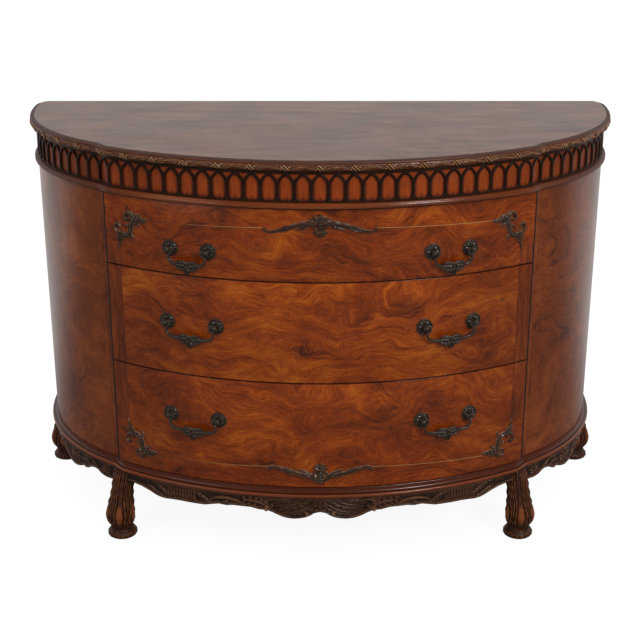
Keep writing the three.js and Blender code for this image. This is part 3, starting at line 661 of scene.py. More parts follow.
topVeneer = {
    "spread": (4.5, 9, 8),
    "from": (2.4, 7.1, 1.2),
    "bend": 0.9,
    "level": 0.7,
    "swirl": 1.9,
    "tones": (
        (0.34, 0x2c160d), (0.43, 0x462616), (0.5, 0x5e3620),
        (0.57, 0x724629), (0.68, 0x8e5f3a),
    ),
    "vein": 0x221008,
    "rim": (0x4a2014, 0x68341f, 0x804a34),
    # Painted shade on the upper part of the rim
    "rimShade": 0x1e0c07,
    "polish": 0.18,
}


def topMaterial():
    recipe = Recipe("top_veneer")
    place = recipe.place("object")
    colour, height = burl(recipe, place, topVeneer)
    z = recipe.parts(place)[2]
    sheet = recipe.smooth(z, level["top"] - 0.5 * mm, level["top"] - 0.2 * mm)
    s, wallZ, out = recipe.parts(recipe.place())
    grain = recipe.noise(recipe.join(s * 14, wallZ * 320, out * 320), 1, 3, 0.6)
    rim = recipe.ramp(grain, *zip((0.25, 0.55, 0.85), topVeneer["rim"]))
    # Painted shade: the rim darkens on its upper part
    shaded = recipe.smooth(z, level["top"] - 3.4 * mm, level["top"] - 2.2 * mm)
    rim = recipe.mix(shaded * 0.6, rim, topVeneer["rimShade"])
    colour = recipe.mix(sheet, rim, colour)
    # The polish is worn in long faint streaks
    streaks = recipe.grain(place, (7, 19, 1), 6, 0.66)
    polish = recipe.smooth(streaks, 0.36, 0.64) * sheet * topVeneer["polish"]
    shine = {**lacquer, "Coat Weight": polish}
    return recipe.finish(colour, 0.52 - sheet * 0.3 - height * 0.05, height, 0.0001, 0.3, **shine)


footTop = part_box("foot_front_left")[1].z

# Carved walnut: painted shade makes it nearly black in the hollows, and wear and painted highlight lighten
# the ridges
carvedTones = {
    "edge": (0x1e0c05, 0x602c12, 0x8e4c24, 0xc4925e, 0.9),
    "fret": (0x120803, 0x1e0e07, 0x2a140a, 0x4a2614, 0.4),
    "mount": (0x0e0603, 0x321809, 0x54301a, 0x9a7050, 0.7),
    "apron": (0x0e0604, 0x22100a, 0x3c1d10, 0x84583a, 0.85),
    "foot": (0x100704, 0x3a1a0a, 0x5c2c12, 0x94541f, 0.6),
}
# Between which values of pointiness a ridge is lightened, by wear and by painted highlight
carvedWearAndHighlight = {
    "edge": (0.505, 0.56),
    "fret": (0.51, 0.56),
    "mount": (0.52, 0.6),
    "apron": (0.505, 0.57),
    "foot": (0.5, 0.56),
}
carvedGloss = {
    "edge": {"Coat Weight": 0.45, "Coat Roughness": 0.14},
    "fret": {"Specular IOR Level": 0.2},
    "mount": {"Coat Weight": 0.6, "Coat Roughness": 0.12},
    "apron": {"Specular IOR Level": 0.35, "Coat Weight": 0.16, "Coat Roughness": 0.16},
    "foot": {"Specular IOR Level": 0.35, "Coat Weight": 0.1, "Coat Roughness": 0.2},
}
wornFoot = 0x8e4a1e


def carvedMaterial(name):
    recipe = Recipe("carved_walnut_" + name)
    deep, dark, mid, bright, wear = carvedTones[name]
    place = recipe.place("object")
    point = recipe.add("NewGeometry").other("Pointiness")
    blotch = recipe.noise(place, 90, 4, 0.6)
    grain = recipe.grain(place, (60, 60, 700), 3, 0.55)
    colour = recipe.ramp(blotch * 0.55 + grain * 0.45, (0.32, deep), (0.47, dark), (0.66, mid))
    # Ridges lighter: wear and painted highlight
    ridge = recipe.smooth(point, *carvedWearAndHighlight[name]) * (blotch * 0.9 + 0.3) * wear
    # Hollows darker: painted shade
    hollow = recipe.smooth(point, 0.498, 0.468)
    colour = recipe.mix(ridge, colour, bright)
    colour = recipe.mix(hollow * 0.85, colour, deep)
    if name == "apron":
        proud = recipe.smooth(recipe.parts(recipe.place())[2], 3.5 * mm, 9 * mm)
        colour = recipe.mix(proud * (blotch * 0.8 + 0.3), colour, bright)
    if name == "foot":
        worn = recipe.smooth(recipe.parts(recipe.place())[0], 0.3, 0.9)
        colour = recipe.mix(worn * (blotch * 0.9 + 0.25), colour, wornFoot)
        # Painted shade on the top of the foot, under the case
        under = recipe.smooth(recipe.parts(place)[2], footTop - 2.5 * mm, footTop - 1 * mm)
        colour = recipe.mix(under * 0.9, colour, deep)
    return recipe.finish(colour, 0.4 - ridge * 0.1 + blotch * 0.1, grain, 0.0002, 0.4, **carvedGloss[name])


# Frieze: a plain board and the pierced fret of pointed arches on it
frieze = {
    "setback": 4,
    "thickness": 18,
    "bowCells": 28,
    "sideCells": 15,
    "bar": 3.7,               # half the width of an upright
    "archBar": 3.3,
    "rise": 5,                # how far the bars stand off the board
    "springing": 31,
    # Half an arch from its foot to its tip, as shares of its half width and heights in mm
    "arch": ((-0.02, 27), (0.02, 35), (0.13, 42), (0.4, 49.4), (0.72, 55), (1.03, 59)),
    "topRail": 6.5,
    "bottomRail": 3.5,
    "foot": ((0.56, 1.6), (0.36, 4), (0.14, 9)),      # how an upright spreads there, in the same way
    "footWidths": (1.8, 3, 1.8),
    "gussetWidths": (0.8, 2.8, 4.6, 6),
    "bowHalf": 17,            # half a cell at which the bars have their full width
    "style": {"across": 8, "crown": 0.22, "lift": -0.2},
}
friezeGround = {
    "tones": ((0.3, 0x762e0c), (0.5, 0x983f10), (0.72, 0xad4c15)),
    # Dirt and painted shade on the ground, along the bars, at the foot and under the top rail
    "dirtAndShade": 0x2a120a,
    "endShade": 0x44261a,  # painted shade towards the ends
}


def friezeMaterial():
    recipe = Recipe("frieze_ground")
    s, z, out = recipe.parts(recipe.place())
    grain = recipe.noise(recipe.join(s * 260, z * 40, out * 50), 1, 3, 0.6)
    cloud = recipe.noise(recipe.join(s * 12, z * 12, 0), 1, 2)
    colour = recipe.ramp(grain * 0.5 + cloud * 0.5, *friezeGround["tones"])
    # Polish and dirt gather along the bars of the fret and at its foot, and painted shade darkens the ground
    # there and under the top rail
    bowCell = seamLength / (frieze["bowCells"] / 2)
    sideCell = (halfLength - seamLength) / frieze["sideCells"]
    past = recipe.maths("MAXIMUM", abs(s) - seamLength, 0)
    cell = recipe.maths("MINIMUM", abs(s), seamLength) * (1 / bowCell) + past * (1 / sideCell)
    beside = abs(recipe.maths("FRACT", cell + 0.5) - 0.5)
    up = z - level["waistTop"]
    bars = recipe.smooth(beside + grain * 0.06, 0.24, 0.4) * recipe.smooth(up, 46 * mm, 34 * mm)
    footing = recipe.smooth(up + beside * (26 * mm), 17 * mm, 5 * mm)
    head = recipe.smooth(up, 56 * mm, 63 * mm)
    dirtAndShade = recipe.maths("MINIMUM", bars * 0.6 + footing * 0.7 + head * 0.6, 0.85)
    # Painted shade: the ground darkens towards the ends
    colour = recipe.mix(recipe.smooth(abs(s), 0.2, 0.85) * 0.6, colour, friezeGround["endShade"])
    colour = recipe.mix(dirtAndShade, colour, friezeGround["dirtAndShade"])
    return recipe.finish(colour, 0.45, grain, 0.00015, 0.4, **{"Specular IOR Level": 0.25})


mouldingTones = {
    "face": (0x54230d, 0x743614, 0x8e4a1e),
    "bead": 0x74361c,
    "hollow": 0x4a1e11,
    # Painted shadow in the quirk over the bead, and under the waist moulding
    "line": 0x120603,
}


def mouldingMaterial():
    recipe = Recipe("moulding_walnut")
    s, z, out = recipe.parts(recipe.place())
    grain = recipe.noise(recipe.join(s * 16, z * 420, out * 420), 1, 4, 0.6)
    cloud = recipe.noise(recipe.join(s * 7, z * 30, 0), 1, 2)
    colour = recipe.ramp(grain * 0.5 + cloud * 0.5, *zip((0.3, 0.5, 0.72), mouldingTones["face"]))
    above = recipe.smooth(z, level["baseLow"] + 9.2 * mm, level["baseLow"] + 10.4 * mm)
    hollow = above * recipe.smooth(z, level["baseTop"] + 1 * mm, level["baseTop"])
    colour = recipe.mix(hollow * 0.85, colour, mouldingTones["hollow"])
    bead = recipe.smooth(z, level["baseLow"] + 30 * mm, level["baseLow"] + 20 * mm) * (1 - above)
    colour = recipe.mix(bead * 0.6, colour, mouldingTones["bead"])
    # Painted shadow: dark lines in the quirk over the bead and under the waist moulding
    quirk = recipe.smooth(abs(z - level["baseLow"] - 9.3 * mm), 0.9 * mm, 0.3 * mm)
    atWaist = recipe.smooth(z, level["waistLow"] - 20 * mm, level["waistLow"] - 10 * mm)
    under = recipe.smooth(z, level["waistLow"] + 3.4 * mm, level["waistLow"] + 1.4 * mm) * atWaist
    colour = recipe.mix(recipe.maths("MAXIMUM", quirk, under) * 0.8, colour, mouldingTones["line"])
    # Painted shade: the waist moulding darkens towards the ends
    endShade = recipe.smooth(abs(s), 0.3, 0.65) * atWaist
    colour = recipe.mix(endShade * 0.75, colour, mouldingTones["hollow"])
    dull = recipe.smooth(abs(s), seamLength - 50 * mm, seamLength - 15 * mm) * atWaist * 0.26
    return recipe.finish(colour, dull + 0.24, grain, 0.0001, 0.3, **lacquer)


# Plain secondary timber of the boards inside, with its grain along one axis
def boardMaterial(name, axis, tones):
    recipe = Recipe(name)
    place = recipe.place("object")
    spread = [240] * 3
    spread[axis] = 9
    bend = recipe.noise(place, 3, 2).other("Color")
    bent = recipe.vector("MULTIPLY_ADD", bend, (0.02, 0.02, 0.02), place)
    grain = recipe.grain(bent, spread, 4, 0.6)
    wide = recipe.grain(bent, [stretch / 6 for stretch in spread])
    colour = recipe.ramp(grain * 0.5 + wide * 0.5, *zip((0.3, 0.52, 0.75), tones))
    return recipe.finish(colour, 0.62, grain, 0.0003, 0.5)


bronzeTones = {
    "hollow": 0x0b0705,
    "body": 0x3e3026,
    # Worn bright on the sharp ridges, which also stands for glints: wear and painted highlight
    "worn": 0xb09878,
}
bronzeGloss = {"Coat Weight": 0.5, "Coat Roughness": 0.14}


def bronzeMaterial():
    recipe = Recipe("antique_bronze")
    place = recipe.place("object")
    point = recipe.add("NewGeometry").other("Pointiness")
    blotch = recipe.noise(place, 160, 4, 0.6)
    # Sharp ridges lighter: wear and painted highlight; the hollows keep a dark patina
    ridge = recipe.smooth(point, 0.535, 0.64) * (blotch * 1.3 - 0.05)
    hollow = recipe.smooth(point, 0.495, 0.45)
    colour = recipe.mix(ridge, bronzeTones["body"], bronzeTones["worn"])
    colour = recipe.mix(hollow * 0.8, colour, bronzeTones["hollow"])
    roughness = 0.36 - ridge * 0.12 + blotch * 0.12
    inputs = {"Metallic": 0.3 - hollow * 0.2, **bronzeGloss}
    return recipe.finish(colour, roughness, blotch, 0.0003, 0.35, **inputs)


timber = {
    "pale": (0x8d6a42, 0xa9834f, 0xc19a63),
    "dark": (0x4b2f1c, 0x67442a, 0x7d5636),
    "walnut": (0x4a2010, 0x65301a, 0x7a3f22),
}
materials = {
    "partition": partitionMaterial(),
    "top": topMaterial(),
    "side": sideMaterial(),
    "ground": friezeMaterial(),
    "moulding": mouldingMaterial(),
    "bronze": bronzeMaterial(),
}
materials |= {name: carvedMaterial(name) for name in carvedTones}
print("materials mixed:", len(materials))

# Floor and light
studio = {
    "floorSize": 120,
    "floor": 0.13,            # how much light the floor gives back
    "floorGlow": 0.92,        # what the camera sees of it besides, so that it reads as white
    "floorMirror": 0.02,      # and how much of that shines back from the floor in front
    "around": 0.37,           # light from the sides
    "above": 1.2,             # and from straight above
    "mirror": 0.53,           # what shines back from the white wall behind
    "floorBehind": 0.6,       # and from the floor there
    "room": 0.032,            # and from the dark room in front
    "lampsFace": (0, 0, 0.45),
    "lamps": {                # place, size in metres and power in watts
        "key": ((1.9, -2.7, 2.3), (0.7, 0.7), 42),
        "fill": ((-2.3, -2.4, 1.4), (1.2, 1.2), 7),
    },
}


def makeFloor():
    bpy.ops.mesh.primitive_plane_add(size=studio["floorSize"])
    floor = bpy.context.object
    floor.name = "floor"
    recipe = Recipe("floor")
    rays = recipe.add("LightPath")
    y = recipe.parts(recipe.place("object"))[1]
    behind, front = studio["floorBehind"], studio["floorMirror"]
    mirror = recipe.smooth(y, 0.1, 1.2) * (behind - front) + front
    seen = rays + rays.other("Is Glossy Ray") * mirror
    dull = recipe.add("BsdfDiffuse", None, {"Color": (studio["floor"],) * 3 + (1,)})
    glow = recipe.add("Emission", None, {"Color": (1, 1, 1, 1), "Strength": seen * studio["floorGlow"]})
    both = recipe.add("AddShader", None, (dull, glow))
    recipe.add("OutputMaterial", None, {"Surface": both})
    floor.data.materials.append(recipe.owner)


# The studio is white behind and above and dim in front
def makeWorld():
    world = bpy.data.worlds.new("studio")
    bpy.context.scene.world = world
    recipe = Recipe("studio", world)
    rays = recipe.add("LightPath")
    y, z = recipe.parts(recipe.add("TexCoord"))[1:]
    behind = recipe.smooth(y, -0.2, 0.45)
    mirror = behind * (studio["mirror"] - studio["room"]) + studio["room"]
    soft = recipe.smooth(z, 0, 0.9) * (studio["above"] - studio["around"]) + studio["around"]
    glossy = rays.other("Is Glossy Ray")
    strength = (1 - rays - glossy) * soft + rays + glossy * mirror
    light = recipe.add("Background", None, {"Color": (1, 1, 1, 1), "Strength": strength})
    recipe.add("OutputWorld", None, {"Surface": light})


def makeLamp(name, place, size, power):
    data = bpy.data.lights.new(name, "AREA")
    data.shape = "RECTANGLE"
    data.size, data.size_y = size
    data.energy = power
    lamp = addObject(name, data)
    lamp.location = place
    towards = Vector(studio["lampsFace"]) - Vector(place)
    lamp.rotation_euler = towards.to_track_quat("-Z", "Y").to_euler()


makeFloor()
makeWorld()
for name, (place, size, power) in studio["lamps"].items():
    makeLamp(name, place, size, power)
bpy.context.scene.view_settings.view_transform = "Standard"
print("floor and lamps set")

# Top board: a veneered sheet inside a rounded rim
topBoard = {
    "inner": -3.3,            # behind the carved edge
    "gap": 0.3 * mm,          # over it
    "step": 6 * mm,
    # Section above the carved edge, in mm out of the wall and above its top
    "nose": (
        (9.6, 0), (11.2, 0.4), (12.2, 1.4), (12.4, 2.8), (11.8, 4.2), (10.4, 5.3), (8.6, 6.1), (6.6, 6.5),
        (5.0, 6.5), (4.3, 6.1), (3.6, 6.1), (3.1, 7),
    ),
}


def makeTop():
    shape = Shape()
    ledge = level["carvedTop"] + topBoard["gap"]
    rows = [(topBoard["inner"], level["carvedLow"]), (topBoard["inner"], ledge)]
    rows += [(out, ledge + up * mm) for out, up in topBoard["nose"]]
    slab(shape, stations(topBoard["step"]), rows)
    shape.make("top_panel", materials["top"])


# Carved edge under the rim: leaves between knots of ribbon; lengths in mm
carvedEdge = {
    "inner": -3,
    "outer": 13.9,            # no carving stands further out
    "pitch": 67.8,            # from knot to knot
    "rows": 22,
    "step": 1.25 * mm,
    "swell": (
        (0, 3), (0.05, 5.4), (0.14, 7.6), (0.3, 9.4), (0.5, 10.6), (0.7, 10.9), (0.87, 10.6), (0.96, 10),
        (1, 9.2),
    ),
    "leafLift": 3.5,
    # Each leaf's start and end, as shares of the pitch, its heights there and its half width
    "leaves": ((0.07, 0.62, -0.30, 0.22, 3.9), (0.40, 0.95, 0.16, -0.26, 3.6)),
    "ribbons": ((1, 2.3, 3.6), (-1, 2, 3)),     # side, half width and lift
    "ribbonReach": 8,
    "bud": (8.4, 2.2, 2.8, 2.72),     # its place beside the knot, its radius and its lift
    "ripple": 0.25,
}


def edgeRelief(s, v):
    edge = carvedEdge
    pitch, tall = edge["pitch"], (level["carvedTop"] - level["carvedLow"]) / mm
    u = s / mm / pitch
    x, y = (u - np.round(u)) * pitch, (v - 0.5) * tall
    relief = np.zeros_like(x)
    # Two leaves run from each knot to the next, one over the other
    for start, end, low, high, wide in edge["leaves"]:
        share = np.clip((u % 1 - start) / (end - start), 0, 1)
        inside = (u % 1 > start) & (u % 1 < end)
        spine = (low + (high - low) * smoothStep(share, 0, 1)) * tall
        half = wide * np.sin(math.pi * share ** 0.8) ** 0.6 + 0.01
        t = np.clip((y - spine) / half, -1, 1)
        vein = 0.58 + 0.42 * np.cos(tau * (share * 11 - 1.1 * np.abs(t)))
        leaf = np.sqrt(1 - t ** 2) * vein - 0.35 * np.exp(-(t / 0.14) ** 2)
        relief = np.maximum(relief, np.where(inside, edge["leafLift"] * leaf, 0))
    # A ribbon crosses over them at the knot, with a bud on each side
    budX, budY, budRadius, budLift = edge["bud"]
    for side, wide, lift in edge["ribbons"]:
        ribbon = (x * 0.72 + y * 0.7 - side * 2.7) / wide
        ribbon = lift * np.sqrt(np.maximum(1 - ribbon ** 2, 0))
        relief = np.maximum(relief, np.where(np.abs(x) < edge["ribbonReach"], ribbon, 0))
        reach = np.hypot(x - side * budX, y - side * budY) / budRadius
        relief = np.maximum(relief, budLift * np.sqrt(np.maximum(1 - reach ** 2, 0)))
    return relief + edge["ripple"] * np.sin(tau * u * 19) * np.sin(math.pi * v)


def makeCarvedEdge():
    shape = Shape()
    v = np.linspace(0, 1, carvedEdge["rows"])[None, :]
    s = stations(carvedEdge["step"])[:, None]
    swell = np.interp(v, *zip(*carvedEdge["swell"]))
    fade = smoothStep(v, 0, 0.12) * (1 - smoothStep(v, 0.9, 1))
    out = np.minimum(swell + edgeRelief(s, v) * fade, carvedEdge["outer"])
    inner = np.full_like(s, carvedEdge["inner"])
    z = level["carvedLow"] + v * (level["carvedTop"] - level["carvedLow"])
    z = np.hstack([z[:, :1], z, z[:, -1:]]) * np.ones_like(s)
    shape.wrap(s, np.hstack([inner, out, inner]) * mm, z)
    shape.make("top_carved_edge", materials["edge"], sharp=60)


# Frieze board and fret
def makeFriezeBoard():
    shape = Shape()
    low, high = (corner.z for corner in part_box("frieze_board"))
    face, back = -frieze["setback"] * mm, -(frieze["setback"] + frieze["thickness"]) * mm
    sweep(shape, stations(8 * mm), [(back, low), (face, low), (face, high), (back, high)])
    shape.make("frieze_board", materials["ground"])


def fretEnds():
    bow = seamLength * np.linspace(0, 1, frieze["bowCells"] // 2 + 1)
    side = seamLength + (halfLength - seamLength) * np.linspace(0, 1, frieze["sideCells"] + 1)
    half = np.concatenate([bow, side[1:]])
    return np.concatenate([-half[:0:-1], half]) / mm


def makeFret():
    shape = Shape()
    low, high = (corner.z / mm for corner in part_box("frieze_fret"))
    lay = ontoWall(-frieze["setback"] * mm)
    bar, archBar, rise = frieze["bar"], frieze["archBar"], frieze["rise"]
    top, tip = low + frieze["springing"], low + frieze["arch"][-1][1]
    ends = fretEnds()
    style = frieze["style"]
    for start, end in zip(ends, ends[1:]):
        middle, half = (start + end) / 2, (end - start) / 2
        narrow = half / frieze["bowHalf"]
        upright = [(middle, z) for z in (low + 1, low + 12, low + 24, top + 1)]
        widths = [bar * narrow, bar * narrow, bar * narrow * 0.9, bar * 0.8]
        stroke(shape, lay, upright, widths, [rise], steps=2, **style)
        for side in hands.values():
            # Half an arch, and how the bar spreads at its foot, which rounds the opening's lower corners
            for key, widths, height in (
                ("arch", [archBar * narrow, archBar, archBar * 0.8], rise * 0.95),
                ("foot", frieze["footWidths"], rise * 0.86),
            ):
                path = [(middle + side * half * share, low + up) for share, up in frieze[key]]
                stroke(shape, lay, path, widths, [height], steps=4, **style)
        boss(shape, lay, (middle, low + 4.2), 3.3, rise * 1.15, lift=style["lift"], sides=10)
    for end in ends[1:-1]:
        gusset = [(end, tip + up) for up in (-5, -2, 1, 3.5)]
        stroke(shape, lay, gusset, frieze["gussetWidths"], [rise * 0.93], steps=2, **style)
    face, proud = -(frieze["setback"] + 0.2) * mm, -frieze["setback"] * mm + rise * 0.86 * mm
    soft = 0.7 * mm
    for z0, z1 in ((low, low + frieze["bottomRail"]), (high - frieze["topRail"], high)):
        z0, z1 = z0 * mm, z1 * mm
        section = [(face, z0), (proud - soft, z0), (proud, z0 + soft), (proud, z1 - soft), (proud - soft, z1)]
        sweep(shape, stations(8 * mm), [*section, (face, z1)])
    shape.make("frieze_fret", materials["fret"])


# Waist moulding, which is the edge of a board over the whole case
waist = {
    # Section in mm out of the wall, and as shares of its height
    "section": (
        (3, 0), (5.4, 0.02), (6, 0.1), (7.6, 0.16), (8, 0.3), (7.9, 0.6), (7.2, 0.72), (5.6, 0.78), (5, 0.84),
        (4.8, 0.95), (3.2, 1),
    ),
    "clearance": 0.3 * mm,
}


def makeWaist():
    shape = Shape()
    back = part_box("back_panel")
    reach, front = back[1].x + waist["clearance"], back[0].y - waist["clearance"]
    notch = ((reach, backY), (reach, front), (-reach, front), (-reach, backY))
    tall = level["waistTop"] - level["waistLow"]
    rows = [(out, level["waistLow"] + share * tall) for out, share in waist["section"]]
    slab(shape, stations(8 * mm), rows, notch)
    shape.make("waist_moulding", materials["moulding"])


# Base moulding: a bead, a hollow and a small lip
baseSection = {
    "inner": -22,
    "height": 21,
    "bead": (8.4, 4.6, 4.55),     # its centre out and up, and its radius
    "hollow": (5.4, 1.4, 9.6, 19.2),
    "lip": ((2.6, 19.4), (2.8, 20.2), (2.2, 21)),
}


def makeBase():
    shape = Shape()
    beadOut, beadUp, radius = baseSection["bead"]
    outer, inner, low, high = baseSection["hollow"]
    rows = [(baseSection["inner"], 0), (beadOut - 3, 0), *arc((beadOut, beadUp), radius, -88, 96, 12)]
    rows += [(outer, beadUp + radius + 0.2)]
    for share in np.linspace(0, 1, 9):
        turn = share * math.pi / 2
        rows.append((outer - (outer - inner) * math.sin(turn), low + (high - low) * (1 - math.cos(turn))))
    rows += [*baseSection["lip"], (baseSection["inner"], baseSection["height"])]
    sweep(shape, stations(8 * mm), [(out * mm, level["baseLow"] + up * mm) for out, up in rows])
    shape.make("base_moulding", materials["moulding"])


makeTop()
makeCarvedEdge()
makeFriezeBoard()
makeFret()
makeWaist()
makeBase()
print("top, frieze and mouldings made")

# Curved side panels
sidePanel = {"thickness": 22 * mm, "soften": 0.8 * mm, "stations": 90}


# Length along the wall at which its face, a distance out, reaches x
def lengthAt(x, out):
    reach = wall["x"] + wall["nx"] * out
    widest = int(np.argmax(reach))
    return float(np.interp(x, reach[:widest], wall["s"][:widest]))


def makeSidePanel(node, side):
    shape = Shape()
    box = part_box(node)
    edge = min(abs(box[0].x), abs(box[1].x))
    low, high = box[0].z, box[1].z
    thick, soft = sidePanel["thickness"], sidePanel["soften"]
    section = [(-thick, low), (-soft, low), (0, low + soft), (0, high - soft), (-soft, high), (-thick, high)]
    share = np.linspace(0, 1, sidePanel["stations"])[:, None]
    out, z = np.array(section).T
    first = np.array([lengthAt(edge, o) for o in out])
    s = first + (halfLength - first) * share
    shape.grid(offWall(np.minimum(s, halfLength), out, z, side), together(side * s, z, out))
    shape.make(node, materials["side"])


for hand, side in hands.items():
    makeSidePanel(f"side_panel_{hand}", side)

# Drawer fronts: bowed boards with softened edges
drawerFront = {"thickness": 20 * mm, "soften": 0.9 * mm}


def onBow(s, out, z):
    angle = s / (bowRadius - plan["breakStep"])
    radius = bowRadius + out
    x, y = radius * np.sin(angle), bowCentreY - radius * np.cos(angle)
    return together(x, y, z)


def makeDrawerFront(name):
    shape = Shape()
    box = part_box(name + "_front")
    low, high = box[0].z, box[1].z
    thick, soft = drawerFront["thickness"], drawerFront["soften"]
    reach = bowRadius - plan["breakStep"]
    end, innerEnd = (reach * math.asin(box[1].x / radius) for radius in (bowRadius, bowRadius - thick))
    half = np.concatenate([np.linspace(0, end - soft, 60), [end - soft * 0.6, end - soft * 0.2, end]])
    s = np.concatenate([-half[:0:-1], half])[:, None]
    drop = soft * (1 - np.sqrt(np.maximum(1 - (np.maximum(np.abs(s) - end + soft, 0) / soft) ** 2, 0)))
    corner = np.array(arc((0, 0), 1, 0, 90, 4))
    front = [(-soft * (1 - x), high - soft * (1 - y)) for x, y in corner]
    rows = [(-thick, low), *[(out, low + high - z) for out, z in front[::-1]], *front, (-thick, high)]
    out, z = np.array(rows).T
    depth = (thick + out) / thick
    spread = 1 + (innerEnd / end - 1) * (1 - depth)
    outs = out - drop * np.where(depth > 0, 1, 0)
    shape.grid(onBow(s * spread, outs, z), together(s, z, outs))
    shape.make(name + "_front", drawerMaterial(name))


for name in ("drawer_top", "drawer_middle", "drawer_bottom"):
    makeDrawerFront(name)
print("sides and drawer fronts made")

# Carved cartouches on the top and the bottom drawer: (length, height) in mm, over the cartouche's own level
cartouche = {
    "lift": 0.5 * mm,         # its ground over the veneer
    "style": {"lift": -0.3},
    "wing": (
        (8, 787), (25, 784.3), (50, 779.5), (77, 771.3), (93, 766), (104, 765.5), (111, 769), (113, 772.5),
    ),
    "wingWidths": (7.4, 7.8, 6.8, 5.6, 4.8, 4.6, 3.8, 2.2),
    "wingHeights": (6, 6.4, 5.6, 4.8, 4, 3.4, 3, 1.6),
    "ridgeWidths": (1.5, 1.4, 1.1, 0.8),
    "ridgeOver": (2.2, 1.6),      # how far the ridge runs above the wing and stands out of it
    # Path, widths, heights and cut of the leaves under the wing, the scrolls and the shield
    "leaves": (
        (((18, 783), (28, 778), (38, 773.5), (50, 770.5)), (3, 4.4, 3.4, 0.7),
         (4, 4.6, 2.6, 1), {"lobes": 3}),
        (((52, 777), (64, 770.5), (76, 767), (86, 765)), (1.6, 3, 2.4, 0.6),
         (3, 3.4, 2.6, 1), {"lobes": 2}),
        (((60, 779), (69, 778), (77, 775.5)), (0.8, 2, 0.6), (4, 4.4, 3)),
    ),
    "scrolls": (
        (((6, 790), (12.5, 787), (14.5, 780), (11.5, 774.5), (6, 772.5)), (2.2, 2.6, 2.4, 2, 1.2),
         (7, 7.4, 6.6, 5.4, 4), {"crown": 0.7}),
        (((2, 796), (9, 797), (17, 793.5), (24, 788.5)), (2.4, 3.4, 2.6, 0.8), (6, 6.4, 5, 3), {"lobes": 2}),
    ),
    "shield": (
        (((0, 800), (0, 793), (0, 784), (0, 776), (0, 769)), (5, 11.5, 11, 7, 5), (4.6, 5.6, 5.4, 5, 4)),
        (((0, 799), (0, 790), (0, 780), (0, 771)), (3.4, 6.6, 5.4, 1.8), (7, 8, 7.6, 6.4), {"lobes": 4}),
    ),
    "fan": (-62, -33, 0, 33, 62),
    "fanWidths": (1.6, 3.8, 5, 2),
    "fanHeights": (5, 6.2, 6, 3.4),
    # Bosses: their place, radius and height
    "tip": ((111.6, 771.5), 3.4, 5.4),
    "buds": (((0, 799.6), 4.6, 6.8), ((-9, 793.5), 5.6, 5.6), ((9, 793.5), 5.6, 5.6)),
    "heart": ((0, 770.5), 3, 7.4),
    "flip": 1003,             # the lower one is the upper one upside down about half this height
}


def cartoucheParts(shape, places):
    wing, rise, style = cartouche["wing"], cartouche["wingHeights"], cartouche["style"]
    over, proud = cartouche["ridgeOver"]
    ridge = [(a, b + over) for a, b in wing[:-1]]
    ridgeHeights = [height + proud for height in rise[:-1]]
    for place in places:
        stroke(shape, place, wing, cartouche["wingWidths"], rise, lobes=6, **style)
        stroke(shape, place, ridge, cartouche["ridgeWidths"], ridgeHeights, crown=0.7, **style)
        carve(shape, place, cartouche["leaves"], **style)
        boss(shape, place, *cartouche["tip"], **style)
        carve(shape, place, cartouche["scrolls"], **style)
    front = places[0]
    carve(shape, front, cartouche["shield"], across=13, **style)
    for bud in cartouche["buds"]:
        boss(shape, front, *bud, **style)
    for turn in cartouche["fan"]:
        away = ray(turn) * (1, -1)
        path = [(0, 771) + away * reach for reach in (0, 5, 10, 15.5 - 1.5 * away[1])]
        stroke(shape, front, path, cartouche["fanWidths"], cartouche["fanHeights"], flutes=1, **style)
    boss(shape, front, *cartouche["heart"], **style)


def makeCartouches():
    for node, flip in (("cartouche_top", 0), ("cartouche_bottom", cartouche["flip"] * mm)):
        shape = Shape()
        cartoucheParts(shape, [shifted(ontoWall(cartouche["lift"], side), flip) for side in (1, -1)])
        shape.make(node, materials["mount"], sharp=50)


